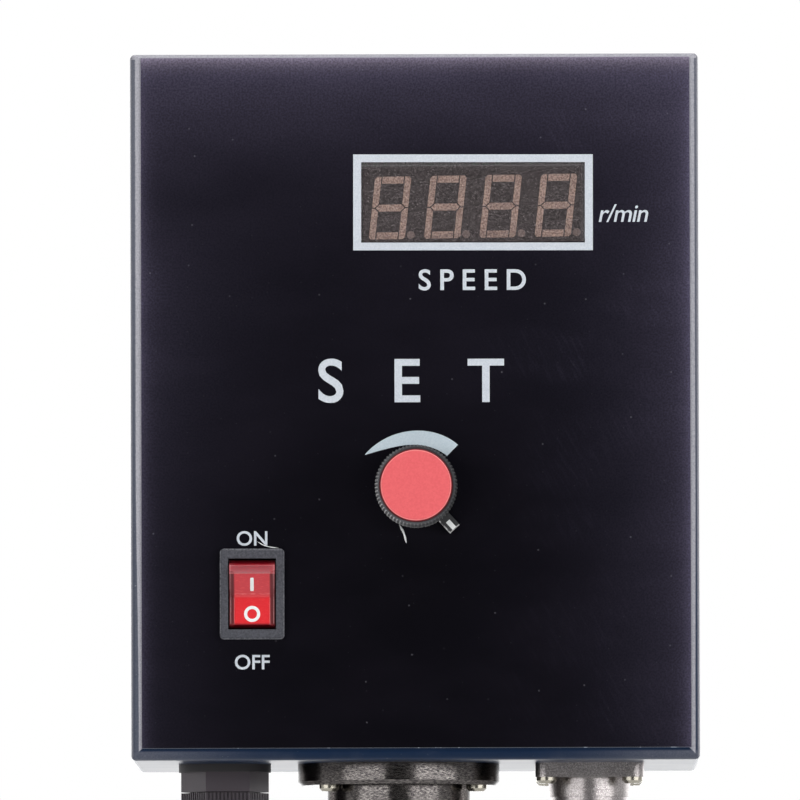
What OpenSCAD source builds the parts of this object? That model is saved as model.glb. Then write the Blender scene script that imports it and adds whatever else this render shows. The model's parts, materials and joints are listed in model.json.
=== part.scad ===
// Stirrer speed controller: a folded sheet case with a display, a speed knob and a power switch
// on its front, and a cable gland and two sockets underneath.
// Millimetres. +X is right seen from the front, +Y runs into the case, +Z is up.
// The origin is the middle of the rear bolt pattern, on the back face of the rear plate.

/* [Case] */
// Width of the case
case_w = 130.5; // [124:0.5:160]
// Height of the case
case_h = 162.2; // [155:0.1:200]
// Depth from the front sheet to the back face
case_d = 100; // [90:1:140]
// Thickness of the case sheet
sheet_t = 1.2; // [0.8:0.1:2]
// Outer bend radius at the sides and bottom of the front
bend_r = 2; // [1.4:0.1:3]
// Outer radius of the front's top edge
top_edge_r = 0.8; // [0.4:0.1:2]
// Radius of the four long corners of the case
corner_r = 1.2; // [0.6:0.1:3]
// Width of the inward flange at the rear
flange_w = 12; // [10:0.5:14]

/* [Rear plate] */
// Thickness of the rear plate
plate_t = 2; // [1.8:0.1:3]
// Inset of the rear plate from the case sides
plate_inset = 0.5; // [0.2:0.1:1.5]
// Distance of the rear screws from the case sides
rear_screw_inset = 7; // [6:0.5:8]
// Thread diameter of the rear screws
rear_screw_d = 3; // [2.5:0.5:4]
// Length of the rear screws
rear_screw_l = 7; // [6:0.5:10]
// Height of the clinch nuts on the flange
case_nut_h = 2.6; // [2:0.1:4]
// Height between the mounting holes
mount_pitch_z = 110; // [80:1:120]
// Thread diameter of the mounting nuts
mount_d = 5; // [4:1:6]
// Wall of the mounting nuts
mount_nut_wall = 2.1; // [1.5:0.1:3]
// Height of the mounting nuts
mount_nut_h = 4; // [3:0.5:6]

/* [Overlay film] */
// Thickness of the overlay film
film_t = 0.4; // [0.2:0.05:0.8]
// Bare sheet left of the film
film_left = 2.5; // [2:0.1:6]
// Bare sheet right of the film
film_right = 2; // [2:0.1:6]
// Bare sheet above the film
film_top = 0.85; // [0.8:0.05:6]
// Bare sheet below the film
film_bottom = 2.7; // [2:0.05:6]

/* [Display] */
// Display centre, right of the middle
display_x = 13.5; // [-15:0.1:15]
// Display centre, above the middle
display_z = 47; // [40:0.1:52]
// Width of the window in the film
window_w = 51.4; // [50:0.1:56]
// Height of the window in the film
window_h = 18.4; // [17:0.1:22]
// Lip of the window behind the film
window_lip = 0.8; // [0.5:0.1:2]
// Width of the display module
module_w = 50.3; // [48:0.1:52]
// Height of the display module
module_h = 19; // [17:0.1:20]
// Depth of the display module
module_t = 8; // [6:0.5:12]
// Drop of the module below the window's centre
module_drop = 1; // [0:0.05:2]
// Turn of the module in the window, in degrees
module_turn = 0.8; // [-1:0.1:1]
// Number of digits
digit_n = 4; // [3:1:4]
// Distance between digits
digit_pitch = 12.7; // [12:0.1:13]
// Width of a digit
digit_w = 8.3; // [7:0.1:8.5]
// Height of a digit
digit_h = 14.4; // [12:0.1:15]
// Width of an upright segment bar
digit_stroke = 1.45; // [1.2:0.05:2]
// Height of a level segment bar
digit_bar = 1.6; // [1.2:0.05:2]
// Half the gap between segment bars
digit_gap = 0.13; // [0.1:0.01:0.3]
// Slant of the digits, in degrees
digit_slant = 7; // [0:1:10]
// Diameter of the decimal points
dot_d = 1.8; // [1:0.1:2]
// Depth of the segment bars in the module's face
segment_t = 0.3; // [0.2:0.05:0.6]

/* [Speed knob] */
// Knob centre, right of the middle
knob_x = 0.3; // [-10:0.1:20]
// Knob centre, above the middle
knob_z = -18.6; // [-30:0.1:0]
// Direction of the pointer, clockwise from the top, in degrees
pointer_angle = 137.5; // [-150:0.5:150]
// Reach of the pointer from the knob's axis
pointer_reach = 13.1; // [12:0.1:18]
// Width of the pointer
pointer_w = 3; // [2.5:0.1:4]
// Height of the pointer ring
pointer_h = 2; // [1.5:0.1:3]
// Width of the pointer's mark
mark_w = 1.1; // [0.8:0.1:1.6]
// Depth of the pointer's mark
mark_t = 0.4; // [0.2:0.1:0.8]
// Gap between the knob and the film
knob_gap = 0.8; // [0.4:0.1:2]
// Height of the knob's body
knob_h = 11; // [10:0.5:16]
// Width of the rim around the cap
knob_rim = 1.1; // [1:0.05:2]
// How much the knob narrows to its front
knob_taper = 0.45; // [0:0.05:0.6]
// Thickness of the cap
cap_t = 2.6; // [2:0.1:4]
// Height of the cap above the rim
cap_rise = 0.8; // [0.2:0.1:1.4]
// Number of flutes round the knob
flute_n = 68; // [24:2:72]
// Radius of a flute
flute_r = 0.34; // [0.2:0.02:0.4]

/* [Potentiometer] */
// Diameter of the shaft
shaft_d = 6; // [5:0.1:6.4]
// Wall of the threaded bush
bush_wall = 1.5; // [1.2:0.1:2]
// Length of the bush in front of its plate
bush_l = 6.9; // [6:0.1:7.2]
// Diameter of the potentiometer
pot_d = 24; // [22:0.5:28]
// Thickness of the mounting plate
pot_plate_t = 1; // [0.8:0.1:2]
// Length of the potentiometer's case
pot_case_l = 8.5; // [8:0.5:14]
// Wall of the potentiometer's case
pot_wall = 0.6; // [0.4:0.1:1]
// Thickness of the resistance track
track_t = 1.2; // [0.8:0.1:2]
// Height of the nut
pot_nut_h = 2.2; // [1.8:0.1:2.4]
// Thickness of the washer under the nut
pot_washer_t = 0.6; // [0.4:0.1:0.8]

/* [Switch] */
// Switch centre, right of the middle
switch_x = -37.4; // [-45:0.1:-34]
// Switch centre, above the middle
switch_z = -43; // [-55:0.1:-40]
// Width of the rocker's opening
rocker_slot_w = 11; // [9:0.1:13]
// Height of the rocker's opening
rocker_slot_h = 16.3; // [15:0.1:19]
// Side wall of the switch body
switch_wall = 0.9; // [0.8:0.1:1.5]
// End wall of the switch body
switch_end = 1.25; // [1:0.05:2]
// Width of the bezel past the body
bezel_lip = 1; // [0.9:0.1:2]
// Height of the bezel
bezel_t = 2; // [1.5:0.1:3]
// Depth of the switch body behind the sheet
switch_depth = 13.5; // [11:0.5:20]
// Thickness of the body's floor
switch_floor = 4; // [3:0.5:5]
// Angle that the rocker tips through
rocker_tip = 25; // [15:1:28]
// Distance from the rocker's pivot to its faces
rocker_face = 3.5; // [3:0.1:4]
// Diameter of the rocker's pivots
rocker_pin_d = 2.4; // [2:0.1:3]
// Length of the terminals
terminal_l = 12; // [9:0.5:16]

/* [Connectors] */
// Distance of the connectors behind the front
port_depth = 37; // [32:1:50]
// Gland centre, right of the middle
gland_x = -44.3; // [-48:0.1:-42]
// Motor socket centre, right of the middle
motor_x = -4.1; // [-6:0.1:0]
// Sensor socket centre, right of the middle
sensor_x = 40; // [39:0.1:46]

/* [Cable gland] */
// Largest cable that the gland takes
cable_d = 7; // [5:0.5:8.5]
// Wall of the rubber seal
seal_wall = 2; // [1.5:0.1:2.2]
// Wall of the gland's stem round the seal
stem_wall = 1.4; // [1.2:0.1:2]
// Wall of the dome nut at its flats
dome_wall = 1.75; // [1.6:0.05:2.4]
// Thickness of the gasket
gasket_t = 1.8; // [1:0.1:3]
// Height of the gland's hexagon
gland_hex_h = 4.6; // [4:0.1:7]
// Length of the dome nut
dome_l = 15.5; // [14:0.5:20]
// Thickness of the locknut
locknut_t = 5; // [4:0.5:8]
// Turn of the gland's flats from the front, in degrees
gland_turn = 5; // [0:1:30]
// Ribs on each flat of the dome nut
rib_n = 11; // [5:1:11]
// Distance between ribs
rib_pitch = 0.88; // [0.5:0.02:0.9]

/* [Motor socket] */
// Diameter of the flange
motor_flange_d = 46.6; // [45:0.1:50]
// Thickness of the flange
motor_flange_t = 5; // [3:0.5:7]
// Diameter of the shell over its thread
motor_shell_d = 33; // [28:0.1:33.4]
// Wall of the shell
motor_wall = 3; // [2:0.1:4]
// Length of the shell below the flange
motor_shell_l = 17; // [12:0.5:24]
// Length of the sleeve above the wall
motor_sleeve_l = 11; // [8:0.5:16]
// Radius of the screw circle
motor_screw_r = 19.7; // [19.5:0.1:20.2]
// Number of screws
motor_screw_n = 3; // [3:1:4]
// Number of contacts
motor_contact_n = 4; // [2:1:6]
// Outer diameter of a contact
motor_contact_d = 4; // [3:0.1:5]

/* [Sensor socket] */
// Width of the square flange
sensor_flange_w = 25.1; // [24:0.1:28]
// Thickness of the flange
sensor_flange_t = 3.3; // [2:0.1:5]
// Diameter of the shell over its thread
sensor_shell_d = 18.9; // [16:0.1:20]
// Wall of the shell
sensor_wall = 1.8; // [1.4:0.1:2.5]
// Length of the shell below the flange
sensor_shell_l = 14; // [10:0.5:20]
// Length of the sleeve above the wall
sensor_sleeve_l = 8; // [6:0.5:14]
// Distance between the screws
sensor_screw_pitch = 19.8; // [19:0.1:20.4]
// Number of contacts
sensor_contact_n = 5; // [3:1:7]
// Outer diameter of a contact
sensor_contact_d = 2; // [1.5:0.1:2.4]

/* [Control board] */
// Width left beside the board for the mounting bolts
board_clear = 6; // [5:0.5:12]
// Height of the control board
board_h = 118; // [110:1:126]
// Thickness of both circuit boards
pcb_t = 1.6; // [1:0.1:2.4]
// Height of the standoffs under the control board
board_lift = 10; // [8:0.5:14]
// Diameter of the standoffs
standoff_d = 6; // [5:0.5:7]
// Width of the heat sink
sink_w = 60; // [50:1:66]
// Length of the heat sink's fins
fin_l = 14; // [8:1:18]
// Height of the heat sink off the board
sink_h = 26; // [20:1:34]
// Number of fins
fin_n = 9; // [5:1:10]
// Width of the transformer's middle leg
core_leg = 14; // [10:0.5:15]
// Stack height of the transformer's laminations
core_stack = 16; // [12:0.5:18]
// Diameter of the large capacitors
cap_d = 20; // [14:0.5:22]
// Height of the large capacitors
cap_h = 30; // [20:1:36]
// Number of poles on the terminal block
pole_n = 10; // [6:1:11]
// Distance between poles
pole_pitch = 5; // [4.5:0.1:5.2]

/* [Hidden] */
$fn = 64;

// Clearances
over = 1;          // how far a cut runs past the surface it opens
fit_gap = 0.1;     // between fixed pieces that slide together
run_gap = 0.05;    // round a turning shaft or pin
thread_gap = 0.05; // between a screw and its nut
move_gap = 0.3;    // between a moving piece and its neighbours
bolt_gap = 0.2;    // round a screw in its clearance hole
join = 0.01;       // overlap that fuses two shapes of one piece

// Smallest radius inside a bend
least_r = 0.2;

// Corners of a hexagon stand further out than its flats
hex_corner = 1 / cos(30);

// Rear plate and mounting
mount_nut_r = mount_d / 2 + mount_nut_wall;
mount_nut_gap = 0.65;
mount_hole_gap = 0.25;
mount_x = case_w / 2 - flange_w - mount_nut_r - mount_nut_gap;
mount_z = mount_pitch_z / 2;
mount_hole_r = mount_d / 2 + mount_hole_gap;
rear_screw_x = case_w / 2 - rear_screw_inset;
rear_screw_z = case_h / 2 - rear_screw_inset;
rear_hole_r = rear_screw_d / 2 + bolt_gap;
flat_head_ratio = 0.93;
rear_head_r = flat_head_ratio * rear_screw_d;
case_nut_wall = 1.4;
case_nut_r = rear_screw_d / 2 + case_nut_wall;

// Overlay film
film_w = case_w - film_left - film_right;
film_h = case_h - film_top - film_bottom;
film_x = (film_left - film_right) / 2;
film_z = (film_bottom - film_top) / 2;

// Display stack, measured from the front sheet outwards
module_face = -sheet_t;
module_back = module_face - module_t;
display_side = 6;
display_end = 7;
display_post_inset = 3;
display_board_w = module_w + 2 * display_side;
display_board_h = module_h + 2 * display_end;
display_post_x = display_board_w / 2 - display_post_inset;
display_post_y = display_board_h / 2 - display_post_inset;
display_post_r = 2.4;
dot_gap = 0.5;
thread_share = 0.6;
display_screw_d = 2.5;

// Potentiometer stack, measured from the front sheet outwards
shaft_r = shaft_d / 2;
bush_r = shaft_r + bush_wall;
pot_washer_rim = 2.5;
pot_nut_wall = 1.5;
pot_washer_r = bush_r + pot_washer_rim;
pot_nut_af = 2 * (bush_r + pot_nut_wall);
pot_front = -sheet_t;
pot_plate_back = pot_front - pot_plate_t;
pot_case_back = pot_plate_back - pot_case_l;
track_back = pot_plate_back - track_t;
bush_top = pot_front + bush_l;
nut_base = film_t + pot_washer_t;
tongue_w = 15;
tongue_reach = 6;
tongue_y = pot_d / 2 + tongue_reach;
lug_y = 8.2;
lug_r = 1.3;
rotor_t = 2.4;
rotor_gap = 0.5;
rotor_rim = 2;
brush_lift = 0.3;
brush_w = 1.4;
brush_inset = 3;
pot_lug_pitch = 5;
pot_lug_w = 2.4;
pot_lug_t = 0.4;
pot_lug_l = 9;
pot_lug_reach = 4;
pot_lug_hole_r = 0.7;
track_hole_gap = 1.2;

// Knob, measured from the front sheet outwards
knob_base = film_t + knob_gap;
recess_gap = 0.6;
spigot_wall = 0.7;
ring_wall = 0.95;
skirt_rim = 0.15;
skirt_h = 1.2;
skirt_edge = 0.15;
rim_edge = 0.4;
knob_recess_r = max(pot_nut_af / 2 * hex_corner, pot_washer_r) + recess_gap;
spigot_r = knob_recess_r + spigot_wall;
ring_in_r = spigot_r + run_gap;
ring_out_r = ring_in_r + ring_wall;
knob_r = ring_out_r + skirt_rim;
cap_r = knob_r - knob_rim;
ring_top = knob_base + pointer_h;
front_r = knob_r - knob_taper;
knob_top = knob_base + knob_h;
cap_top = knob_top + cap_rise;
cap_base = cap_top - cap_t;
web_gap = 0.4;
web_base = max(bush_top, nut_base + pot_nut_h) + web_gap;
collet_nut_h = 1.9;
collet_nut_gap = 0.2;
web_top = cap_base - collet_nut_h - collet_nut_gap;
collet_base_wall = 2;
collet_top_wall = 1.2;
collet_stem_wall = 0.9;
collet_nut_wall = 1.7;
collet_slot_w = 0.6;
collet_slot_l = 1.2;
driver_slot_w = 1;
driver_slot_l = 0.7;
collet_base_r = shaft_r + collet_base_wall;
collet_top_r = shaft_r + collet_top_wall;
stem_r = shaft_r + collet_stem_wall;
collet_nut_r = stem_r + collet_nut_wall;
shaft_gap = 0.5;
shaft_top = cap_base - shaft_gap;
mark_gap = 1.2;
mark_end = 0.15;
mark_start = knob_r + mark_gap;

// Switch, measured from the front sheet outwards
switch_w = rocker_slot_w + 2 * switch_wall;
switch_h = rocker_slot_h + 2 * switch_end;
bezel_w = switch_w + 2 * bezel_lip;
bezel_h = switch_h + 2 * bezel_lip;
bezel_top = film_t + bezel_t;
bezel_edge = 0.5;
bezel_corner = 1;
rocker_sink = 0.4;
rocker_side = 0.25;
rocker_bevel_w = 1.25;
rocker_bevel_t = 0.7;
pivot_z = bezel_top - rocker_sink - rocker_face;
rocker_w = rocker_slot_w - 2 * rocker_side;
rocker_r = rocker_slot_h / 2 - move_gap;
rocker_under = 1.8;
rocker_leg_l = 4;
rocker_leg_w = 3.4;
rocker_pin_reach = 0.55;
switch_back = -switch_depth;
switch_floor_top = switch_back + switch_floor;
terminal_w = 4.8;
terminal_t = 0.8;
terminal_pitch = 6.5;
terminal_hole_r = 0.9;
terminal_hole_y = 2.5;
wing_w = 6;
wing_reach = 0.8;
wing_root = 0.2;
wing_l = 5.5;

// Contact lever that the rocker's plunger tips; its bead lies in a saddle of the middle terminal
lever_lift = 1;
lever_gap = 0.1;
lever_t = 0.6;
lever_w = 4;
lever_tip = 8;
lever_end = 0.1;
lever_bead_r = 0.5;
lever_z = switch_floor_top + lever_lift + lever_gap;
plunger_r = 1;
plunger_l = 4.2;
plunger_gap = 0.2;
plunger_reach = pivot_z - lever_z - lever_t - plunger_gap;

// Cable gland, measured from the case floor downwards
seal_r = cable_d / 2 + seal_wall;
stem_out_r = seal_r + fit_gap + stem_wall;
gland_af = 2 * (stem_out_r + thread_gap + dome_wall);
gland_hex_r = gland_af / 2 * hex_corner;
gland_bore_gap = 0.8;
gland_bore_r = cable_d / 2 + gland_bore_gap;
gasket_step = 0.5;
gasket_r = gland_hex_r + gasket_step;
gland_hex_end = gasket_t + gland_hex_h;
stem_l = 6;
stem_end = gland_hex_end + stem_l;
seal_step = 0.8;
seal_reach = 1.6;
seal_start = gland_hex_end + seal_step;
seal_end = stem_end + seal_reach;
dome_gap = 0.2;
dome_start = gland_hex_end + dome_gap;
dome_end = dome_start + dome_l;
dome_round = 5;
dome_mouth_l = 4;
dome_mouth_gap = 0.6;
dome_cone_step = 0.4;
stub_reach = 2;
gland_stub_l = locknut_t + sheet_t + stub_reach;
rib_depth = 0.4;

// Sockets, measured from the case floor downwards
screw_d = 3;
screw_head_d = 4.8;
screw_head_h = 1.5;
screw_nut_h = 2.4;
screw_nut_wall = 1.5;
screw_nut_r = screw_d / 2 + screw_nut_wall;
screw_hole_r = screw_d / 2 + bolt_gap;
screw_end = 1;
motor_screw_turn = 24;
motor_edge = 0.9;
sensor_corner_r = 2.6;
shell_edge = 0.8;
contact_turn = 45;
contact_hole_l = 9;
contact_hole_ratio = 0.6;
contact_circle_ratio = 0.55;
contact_sink = 1;
motor_tail_l = 4;
sensor_tail_l = 3;
key_w = 2.4;
key_l = 6;
mouth_depth = 2.5;
neck_l = 4.4;
groove_w = 0.8;
groove_t = 0.5;
neck_end = neck_l + groove_w;
motor_end = motor_flange_t + motor_shell_l;
motor_bore_r = motor_shell_d / 2 - motor_wall;
motor_sleeve_step = 0.6;
motor_sleeve_r = motor_shell_d / 2 - motor_sleeve_step;
motor_circle_r = motor_bore_r * contact_circle_ratio;
sensor_end = sensor_flange_t + sensor_shell_l;
sensor_bore_r = sensor_shell_d / 2 - sensor_wall;
sensor_sleeve_step = 0.4;
sensor_sleeve_r = sensor_shell_d / 2 - sensor_sleeve_step;
sensor_circle_r = sensor_bore_r * contact_circle_ratio;
rear_lip = 1;

// Control board and what stands on it
board_w = 2 * (mount_x - board_clear);
board_face = plate_t + board_lift + pcb_t;
board_post_inset = 5;
board_post_x = board_w / 2 - board_post_inset;
board_post_z = board_h / 2 - board_post_inset;
board_screw_d = 3;
sink_base = 3;
sink_z = 22;
fin_t = 1.6;
transistor_w = 10;
transistor_t = 4.6;
transistor_pitch = 28;
transistor_leg_h = 4;
transistor_h = 9;
tab_t = 1.3;
tab_h = 6;
lead_pitch = 2.54;
lead_w = 0.8;
lead_t = 0.6;
core_w = 3 * core_leg;
core_h = 2.5 * core_leg;
coil_gap = 0.3;
coil_r = 2;
transformer_inset = 25;
transformer_x = transformer_inset - board_w / 2;
transformer_z = -22;
cap_inset = 17;
cap_x = board_w / 2 - cap_inset;
cap_z = -12;
cap_pitch = 24;
cap_edge = 0.8;
cap_groove = 0.6;
cap_groove_z = 3.1;
cap_roll = 2;
cap_dish = 0.5;
block_inset = 7;
block_z = block_inset - board_h / 2;
block_d = 10;
block_h = 13;
block_edge = 2;
block_slope = 4;
pole_r = 0.35 * pole_pitch;
pole_y = 1;
pole_screw_l = 5;
pole_wire_l = 6;
pole_wire_z = 4.5;
relay_size = [19, 15.5, 15.5];
relay_edge = 0.8;
relay_inset = 18;
relay_x = relay_inset - board_w / 2;
relay_z = 1.5;
fuse_d = 5.2;
fuse_l = 20;
fuse_cap_l = 5;
fuse_cap_t = 0.3;
fuse_lift = 1.2;
fuse_axis = fuse_d / 2 + fuse_lift;
fuse_z = 12;
clip_t = 0.5;
clip_l = 4;
clip_foot = 3;
clip_inset = 2.5;
clip_open = 1;
chip_size = [24, 6.6, 3.4];
chip_lift = 0.6;
chip_inset = 30;
chip_x = chip_inset - board_w / 2;
chip_top = 11;
chip_z = board_h / 2 - chip_top;
chip_leg_n = 9;
chip_leg_w = 0.5;
chip_leg_t = 0.6;
chip_leg_step = 0.2;

// Colours
paint = [0.09, 0.14, 0.22];
black_plastic = [0.09, 0.09, 0.1];
steel = [0.72, 0.73, 0.75];
brass = [0.78, 0.62, 0.3];
gunmetal = [0.3, 0.29, 0.28];
board_green = [0.1, 0.35, 0.2];
copper = [0.72, 0.42, 0.22];

// Local frames: x stays to the right and z points out of the surface
module at_front(x, z) {
  translate([x, -case_d, z])
    rotate([90, 0, 0])
      children();
}

module at_back(x, z) {
  translate([x, 0, z])
    rotate([-90, 0, 0])
      children();
}

module at_floor(x) {
  translate([x, port_depth - case_d, -case_h / 2])
    rotate([180, 0, 0])
      children();
}

module at_board(x, z) {
  translate([x, -board_face, z])
    rotate([90, 0, 0])
      children();
}

module at_display() {
  at_front(display_x, display_z - module_drop)
    rotate([0, 0, module_turn])
      children();
}

module at_corners(x, y) {
  for (sx = [-1, 1], sy = [-1, 1])
    translate([sx * x, sy * y, 0])
      children();
}

module ring_of(count, radius, start = 0) {
  for (i = [0 : count - 1])
    rotate([0, 0, start + i * 360 / count])
      translate([radius, 0, 0])
        children();
}

// Shapes that several pieces share
module rounded_square(w, h, r) {
  square([w - 2 * r, h], center = true);
  square([w, h - 2 * r], center = true);
  for (sx = [-1, 1], sy = [-1, 1])
    translate([sx * (w / 2 - r), sy * (h / 2 - r)])
      circle(r);
}

// A sheet seen edge on: two front corners with their own bend radii
module bent_profile(w, d, r_low, r_high) {
  translate([r_low - w / 2, 0])
    square([w - r_low - r_high, d]);
  translate([-w / 2, r_low])
    square([w / 2, d - r_low]);
  translate([0, r_high])
    square([w / 2, d - r_high]);
  translate([r_low - w / 2, r_low])
    circle(r_low);
  translate([w / 2 - r_high, r_high])
    circle(r_high);
}

// The folded case as three crossed prisms; inset moves every face inwards
module case_block(inset, d) {
  w = case_w - 2 * inset;
  h = case_h - 2 * inset;
  side = max(bend_r - inset, least_r);
  top = max(top_edge_r - inset, least_r);
  corner = max(corner_r - inset, least_r);
  intersection() {
    linear_extrude(h + 2 * over, center = true)
      bent_profile(w, d, side, side);
    rotate([0, -90, 0])
      linear_extrude(w + 2 * over, center = true)
        bent_profile(h, d, side, top);
    translate([0, d + over, 0])
      rotate([90, 0, 0])
        linear_extrude(d + 2 * over)
          rounded_square(w, h, corner);
  }
}

module tube(r_out, r_in, h) {
  difference() {
    cylinder(r = r_out, h = h);
    translate([0, 0, -over])
      cylinder(r = r_in, h = h + 2 * over);
  }
}

module hex_nut(af, bore_r, h) {
  difference() {
    intersection() {
      cylinder(r = af / 2 * hex_corner, h = h, $fn = 6);
      nut_chamfer(af, h);
    }
    translate([0, 0, -over])
      cylinder(r = bore_r, h = h + 2 * over);
  }
}

// Turned corners of a hexagon at both of its faces
module nut_chamfer(af, h) {
  cut = 0.1 * af;
  low = af / 2 * 0.97;
  high = low + 1.8 * cut;
  edge = min(cut, 0.45 * h);
  rotate_extrude()
    polygon([[0, 0], [low, 0], [high, edge], [high, h - edge], [low, h], [0, h]]);
}

module cross_recess(size, depth) {
  for (turn = [0, 90])
    rotate([0, 0, turn])
      cube([size, size * 0.25, 2 * depth], center = true);
}

// Head above z = 0, shank below it
module pan_screw(d, l, head_d, head_h) {
  difference() {
    union() {
      rotate_extrude()
        polygon([
          [0, 0], [head_d / 2, 0], [head_d / 2, head_h * 0.55], [head_d * 0.36, head_h], [0, head_h]
        ]);
      translate([0, 0, -l])
        cylinder(d = d, h = l + head_h / 2);
    }
    translate([0, 0, head_h])
      cross_recess(head_d * 0.55, head_h * 0.5);
  }
}

// Countersunk head flush with z = 0
module flat_screw(d, l, head_r) {
  difference() {
    union() {
      translate([0, 0, d / 2 - head_r])
        cylinder(r1 = d / 2, r2 = head_r, h = head_r - d / 2);
      translate([0, 0, -l])
        cylinder(d = d, h = l - (head_r - d / 2) / 2);
    }
    cross_recess(head_r * 1.1, head_r / 3);
  }
}

// Case
module window_cut() {
  square([window_w + 2 * window_lip, window_h + 2 * window_lip], center = true);
}

module switch_cut() {
  square([switch_w + 2 * fit_gap, switch_h + 2 * fit_gap], center = true);
}

module through_sheet() {
  translate([0, 0, -sheet_t - over])
    linear_extrude(sheet_t + 2 * over)
      children();
}

module case_shell() {
  color(paint)
    difference() {
      translate([0, -case_d, 0])
        case_block(0, case_d - plate_t);
      translate([0, sheet_t - case_d, 0])
        case_block(sheet_t, case_d - plate_t - 2 * sheet_t);
      translate([0, -plate_t - sheet_t / 2, 0])
        cube([case_w - 2 * flange_w, sheet_t + 2 * over, case_h - 2 * flange_w], center = true);
      at_back(0, 0)
        at_corners(rear_screw_x, rear_screw_z)
          translate([0, 0, -plate_t - sheet_t - over])
            cylinder(r = rear_hole_r, h = sheet_t + 2 * over);
      at_front(display_x, display_z)
        through_sheet()
          window_cut();
      at_front(switch_x, switch_z)
        through_sheet()
          switch_cut();
      at_front(knob_x, knob_z) {
        translate([0, 0, -sheet_t - over])
          cylinder(r = bush_r + fit_gap, h = sheet_t + 2 * over);
        translate([0, lug_y, -sheet_t - over])
          cylinder(r = lug_r + fit_gap, h = sheet_t + over);
      }
      at_floor(gland_x)
        floor_hole(stem_out_r);
      at_floor(motor_x) {
        floor_hole(motor_sleeve_r);
        at_motor_screws()
          floor_hole(screw_d / 2);
      }
      at_floor(sensor_x) {
        floor_hole(sensor_sleeve_r);
        at_sensor_screws()
          floor_hole(screw_d / 2);
      }
    }
}

module floor_hole(r) {
  translate([0, 0, -sheet_t - over])
    cylinder(r = r + 2 * fit_gap, h = sheet_t + 2 * over);
}

module front_overlay() {
  color([0.03, 0.03, 0.04])
    at_front(0, 0)
      linear_extrude(film_t)
        difference() {
          translate([film_x, film_z])
            square([film_w, film_h], center = true);
          translate([display_x, display_z])
            square([window_w, window_h], center = true);
          translate([switch_x, switch_z])
            switch_cut();
          translate([knob_x, knob_z])
            circle(bush_r + 2 * fit_gap);
        }
}

module rear_plate() {
  color(paint)
    at_back(0, 0)
      difference() {
        translate([0, 0, -plate_t])
          linear_extrude(plate_t)
            rounded_square(case_w - 2 * plate_inset, case_h - 2 * plate_inset, corner_r);
        at_corners(mount_x, mount_z)
          translate([0, 0, -plate_t - over])
            cylinder(r = mount_hole_r, h = plate_t + 2 * over);
        at_corners(rear_screw_x, rear_screw_z) {
          translate([0, 0, -plate_t - over])
            cylinder(r = rear_hole_r, h = plate_t + 2 * over);
          translate([0, 0, rear_screw_d / 2 - rear_head_r])
            cylinder(r1 = rear_screw_d / 2 + fit_gap, r2 = rear_head_r + fit_gap,
                     h = rear_head_r - rear_screw_d / 2 + join);
        }
      }
}

module rear_screws() {
  color(steel)
    at_back(0, 0)
      at_corners(rear_screw_x, rear_screw_z)
        flat_screw(rear_screw_d, rear_screw_l, rear_head_r);
}

module case_nuts() {
  color(steel)
    at_back(0, 0)
      at_corners(rear_screw_x, rear_screw_z)
        translate([0, 0, -plate_t - sheet_t - case_nut_h])
          tube(case_nut_r, rear_screw_d / 2 + thread_gap, case_nut_h);
}

module mount_nuts() {
  color(steel)
    at_back(0, 0)
      at_corners(mount_x, mount_z)
        translate([0, 0, -plate_t - mount_nut_h])
          tube(mount_nut_r, mount_d / 2, mount_nut_h);
}

// Display
module display_window() {
  color([0.26, 0.22, 0.21])
    at_front(display_x, display_z) {
      linear_extrude(film_t)
        square([window_w - 2 * fit_gap, window_h - 2 * fit_gap], center = true);
      translate([0, 0, -sheet_t])
        linear_extrude(sheet_t)
          window_plate();
    }
}

module window_plate() {
  rim = window_lip - fit_gap;
  square([window_w + 2 * rim, window_h + 2 * rim], center = true);
}

function slanted(p) = [p[0] + p[1] * tan(digit_slant), p[1]];

module bar(points) {
  polygon([for (p = points) slanted(p)]);
}

// Seven bars and a point, measured from the digit's lower left corner
module digit() {
  mid = digit_h / 2;
  s = digit_stroke;
  b = digit_bar;
  g = digit_gap;
  cut = 0.35 * s;
  upright = [[0, g], [0, mid - cut], [cut, mid], [s, mid], [s, b / 2 + g], [s - b / 2, g]];
  level_w = digit_w - s - 2 * g;
  level = [[s + 2 * g, mid - b], [s + 2 * g, mid], [level_w, mid], [level_w, mid - b]];
  tip = s - b / 2 + (2 * sqrt(2) - 1) * g;
  for (up = [-1, 1]) {
    bar([for (p = upright) [p[0], mid + up * p[1]]]);
    bar([for (p = upright) [digit_w - p[0], mid + up * p[1]]]);
    bar([for (p = level) [p[0], mid + up * p[1]]]);
  }
  bar([
    [tip, mid], [tip + b / 2, mid + b / 2], [digit_w - tip - b / 2, mid + b / 2],
    [digit_w - tip, mid], [digit_w - tip - b / 2, mid - b / 2], [tip + b / 2, mid - b / 2]
  ]);
  translate([digit_w + dot_d / 2 + dot_gap, dot_d / 2])
    circle(d = dot_d);
}

module digit_row() {
  lean = digit_h * tan(digit_slant);
  row_w = (digit_n - 1) * digit_pitch + digit_w + lean;
  for (i = [0 : digit_n - 1])
    translate([i * digit_pitch - row_w / 2, -digit_h / 2])
      digit();
}

module display_module() {
  color(black_plastic)
    at_display()
      difference() {
        translate([0, 0, module_back])
          linear_extrude(module_t)
            square([module_w, module_h], center = true);
        translate([0, 0, module_face - segment_t])
          linear_extrude(segment_t + over)
            digit_row();
      }
}

module display_segments() {
  color([0.75, 0.6, 0.55])
    at_display()
      translate([0, 0, module_face - segment_t])
        linear_extrude(segment_t)
          digit_row();
}

module display_board() {
  color(board_green)
    at_display()
      translate([0, 0, module_back - pcb_t])
        difference() {
          linear_extrude(pcb_t)
            square([display_board_w, display_board_h], center = true);
          at_corners(display_post_x, display_post_y)
            translate([0, 0, -over])
              cylinder(d = display_screw_d + 2 * fit_gap, h = pcb_t + 2 * over);
        }
}

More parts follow.
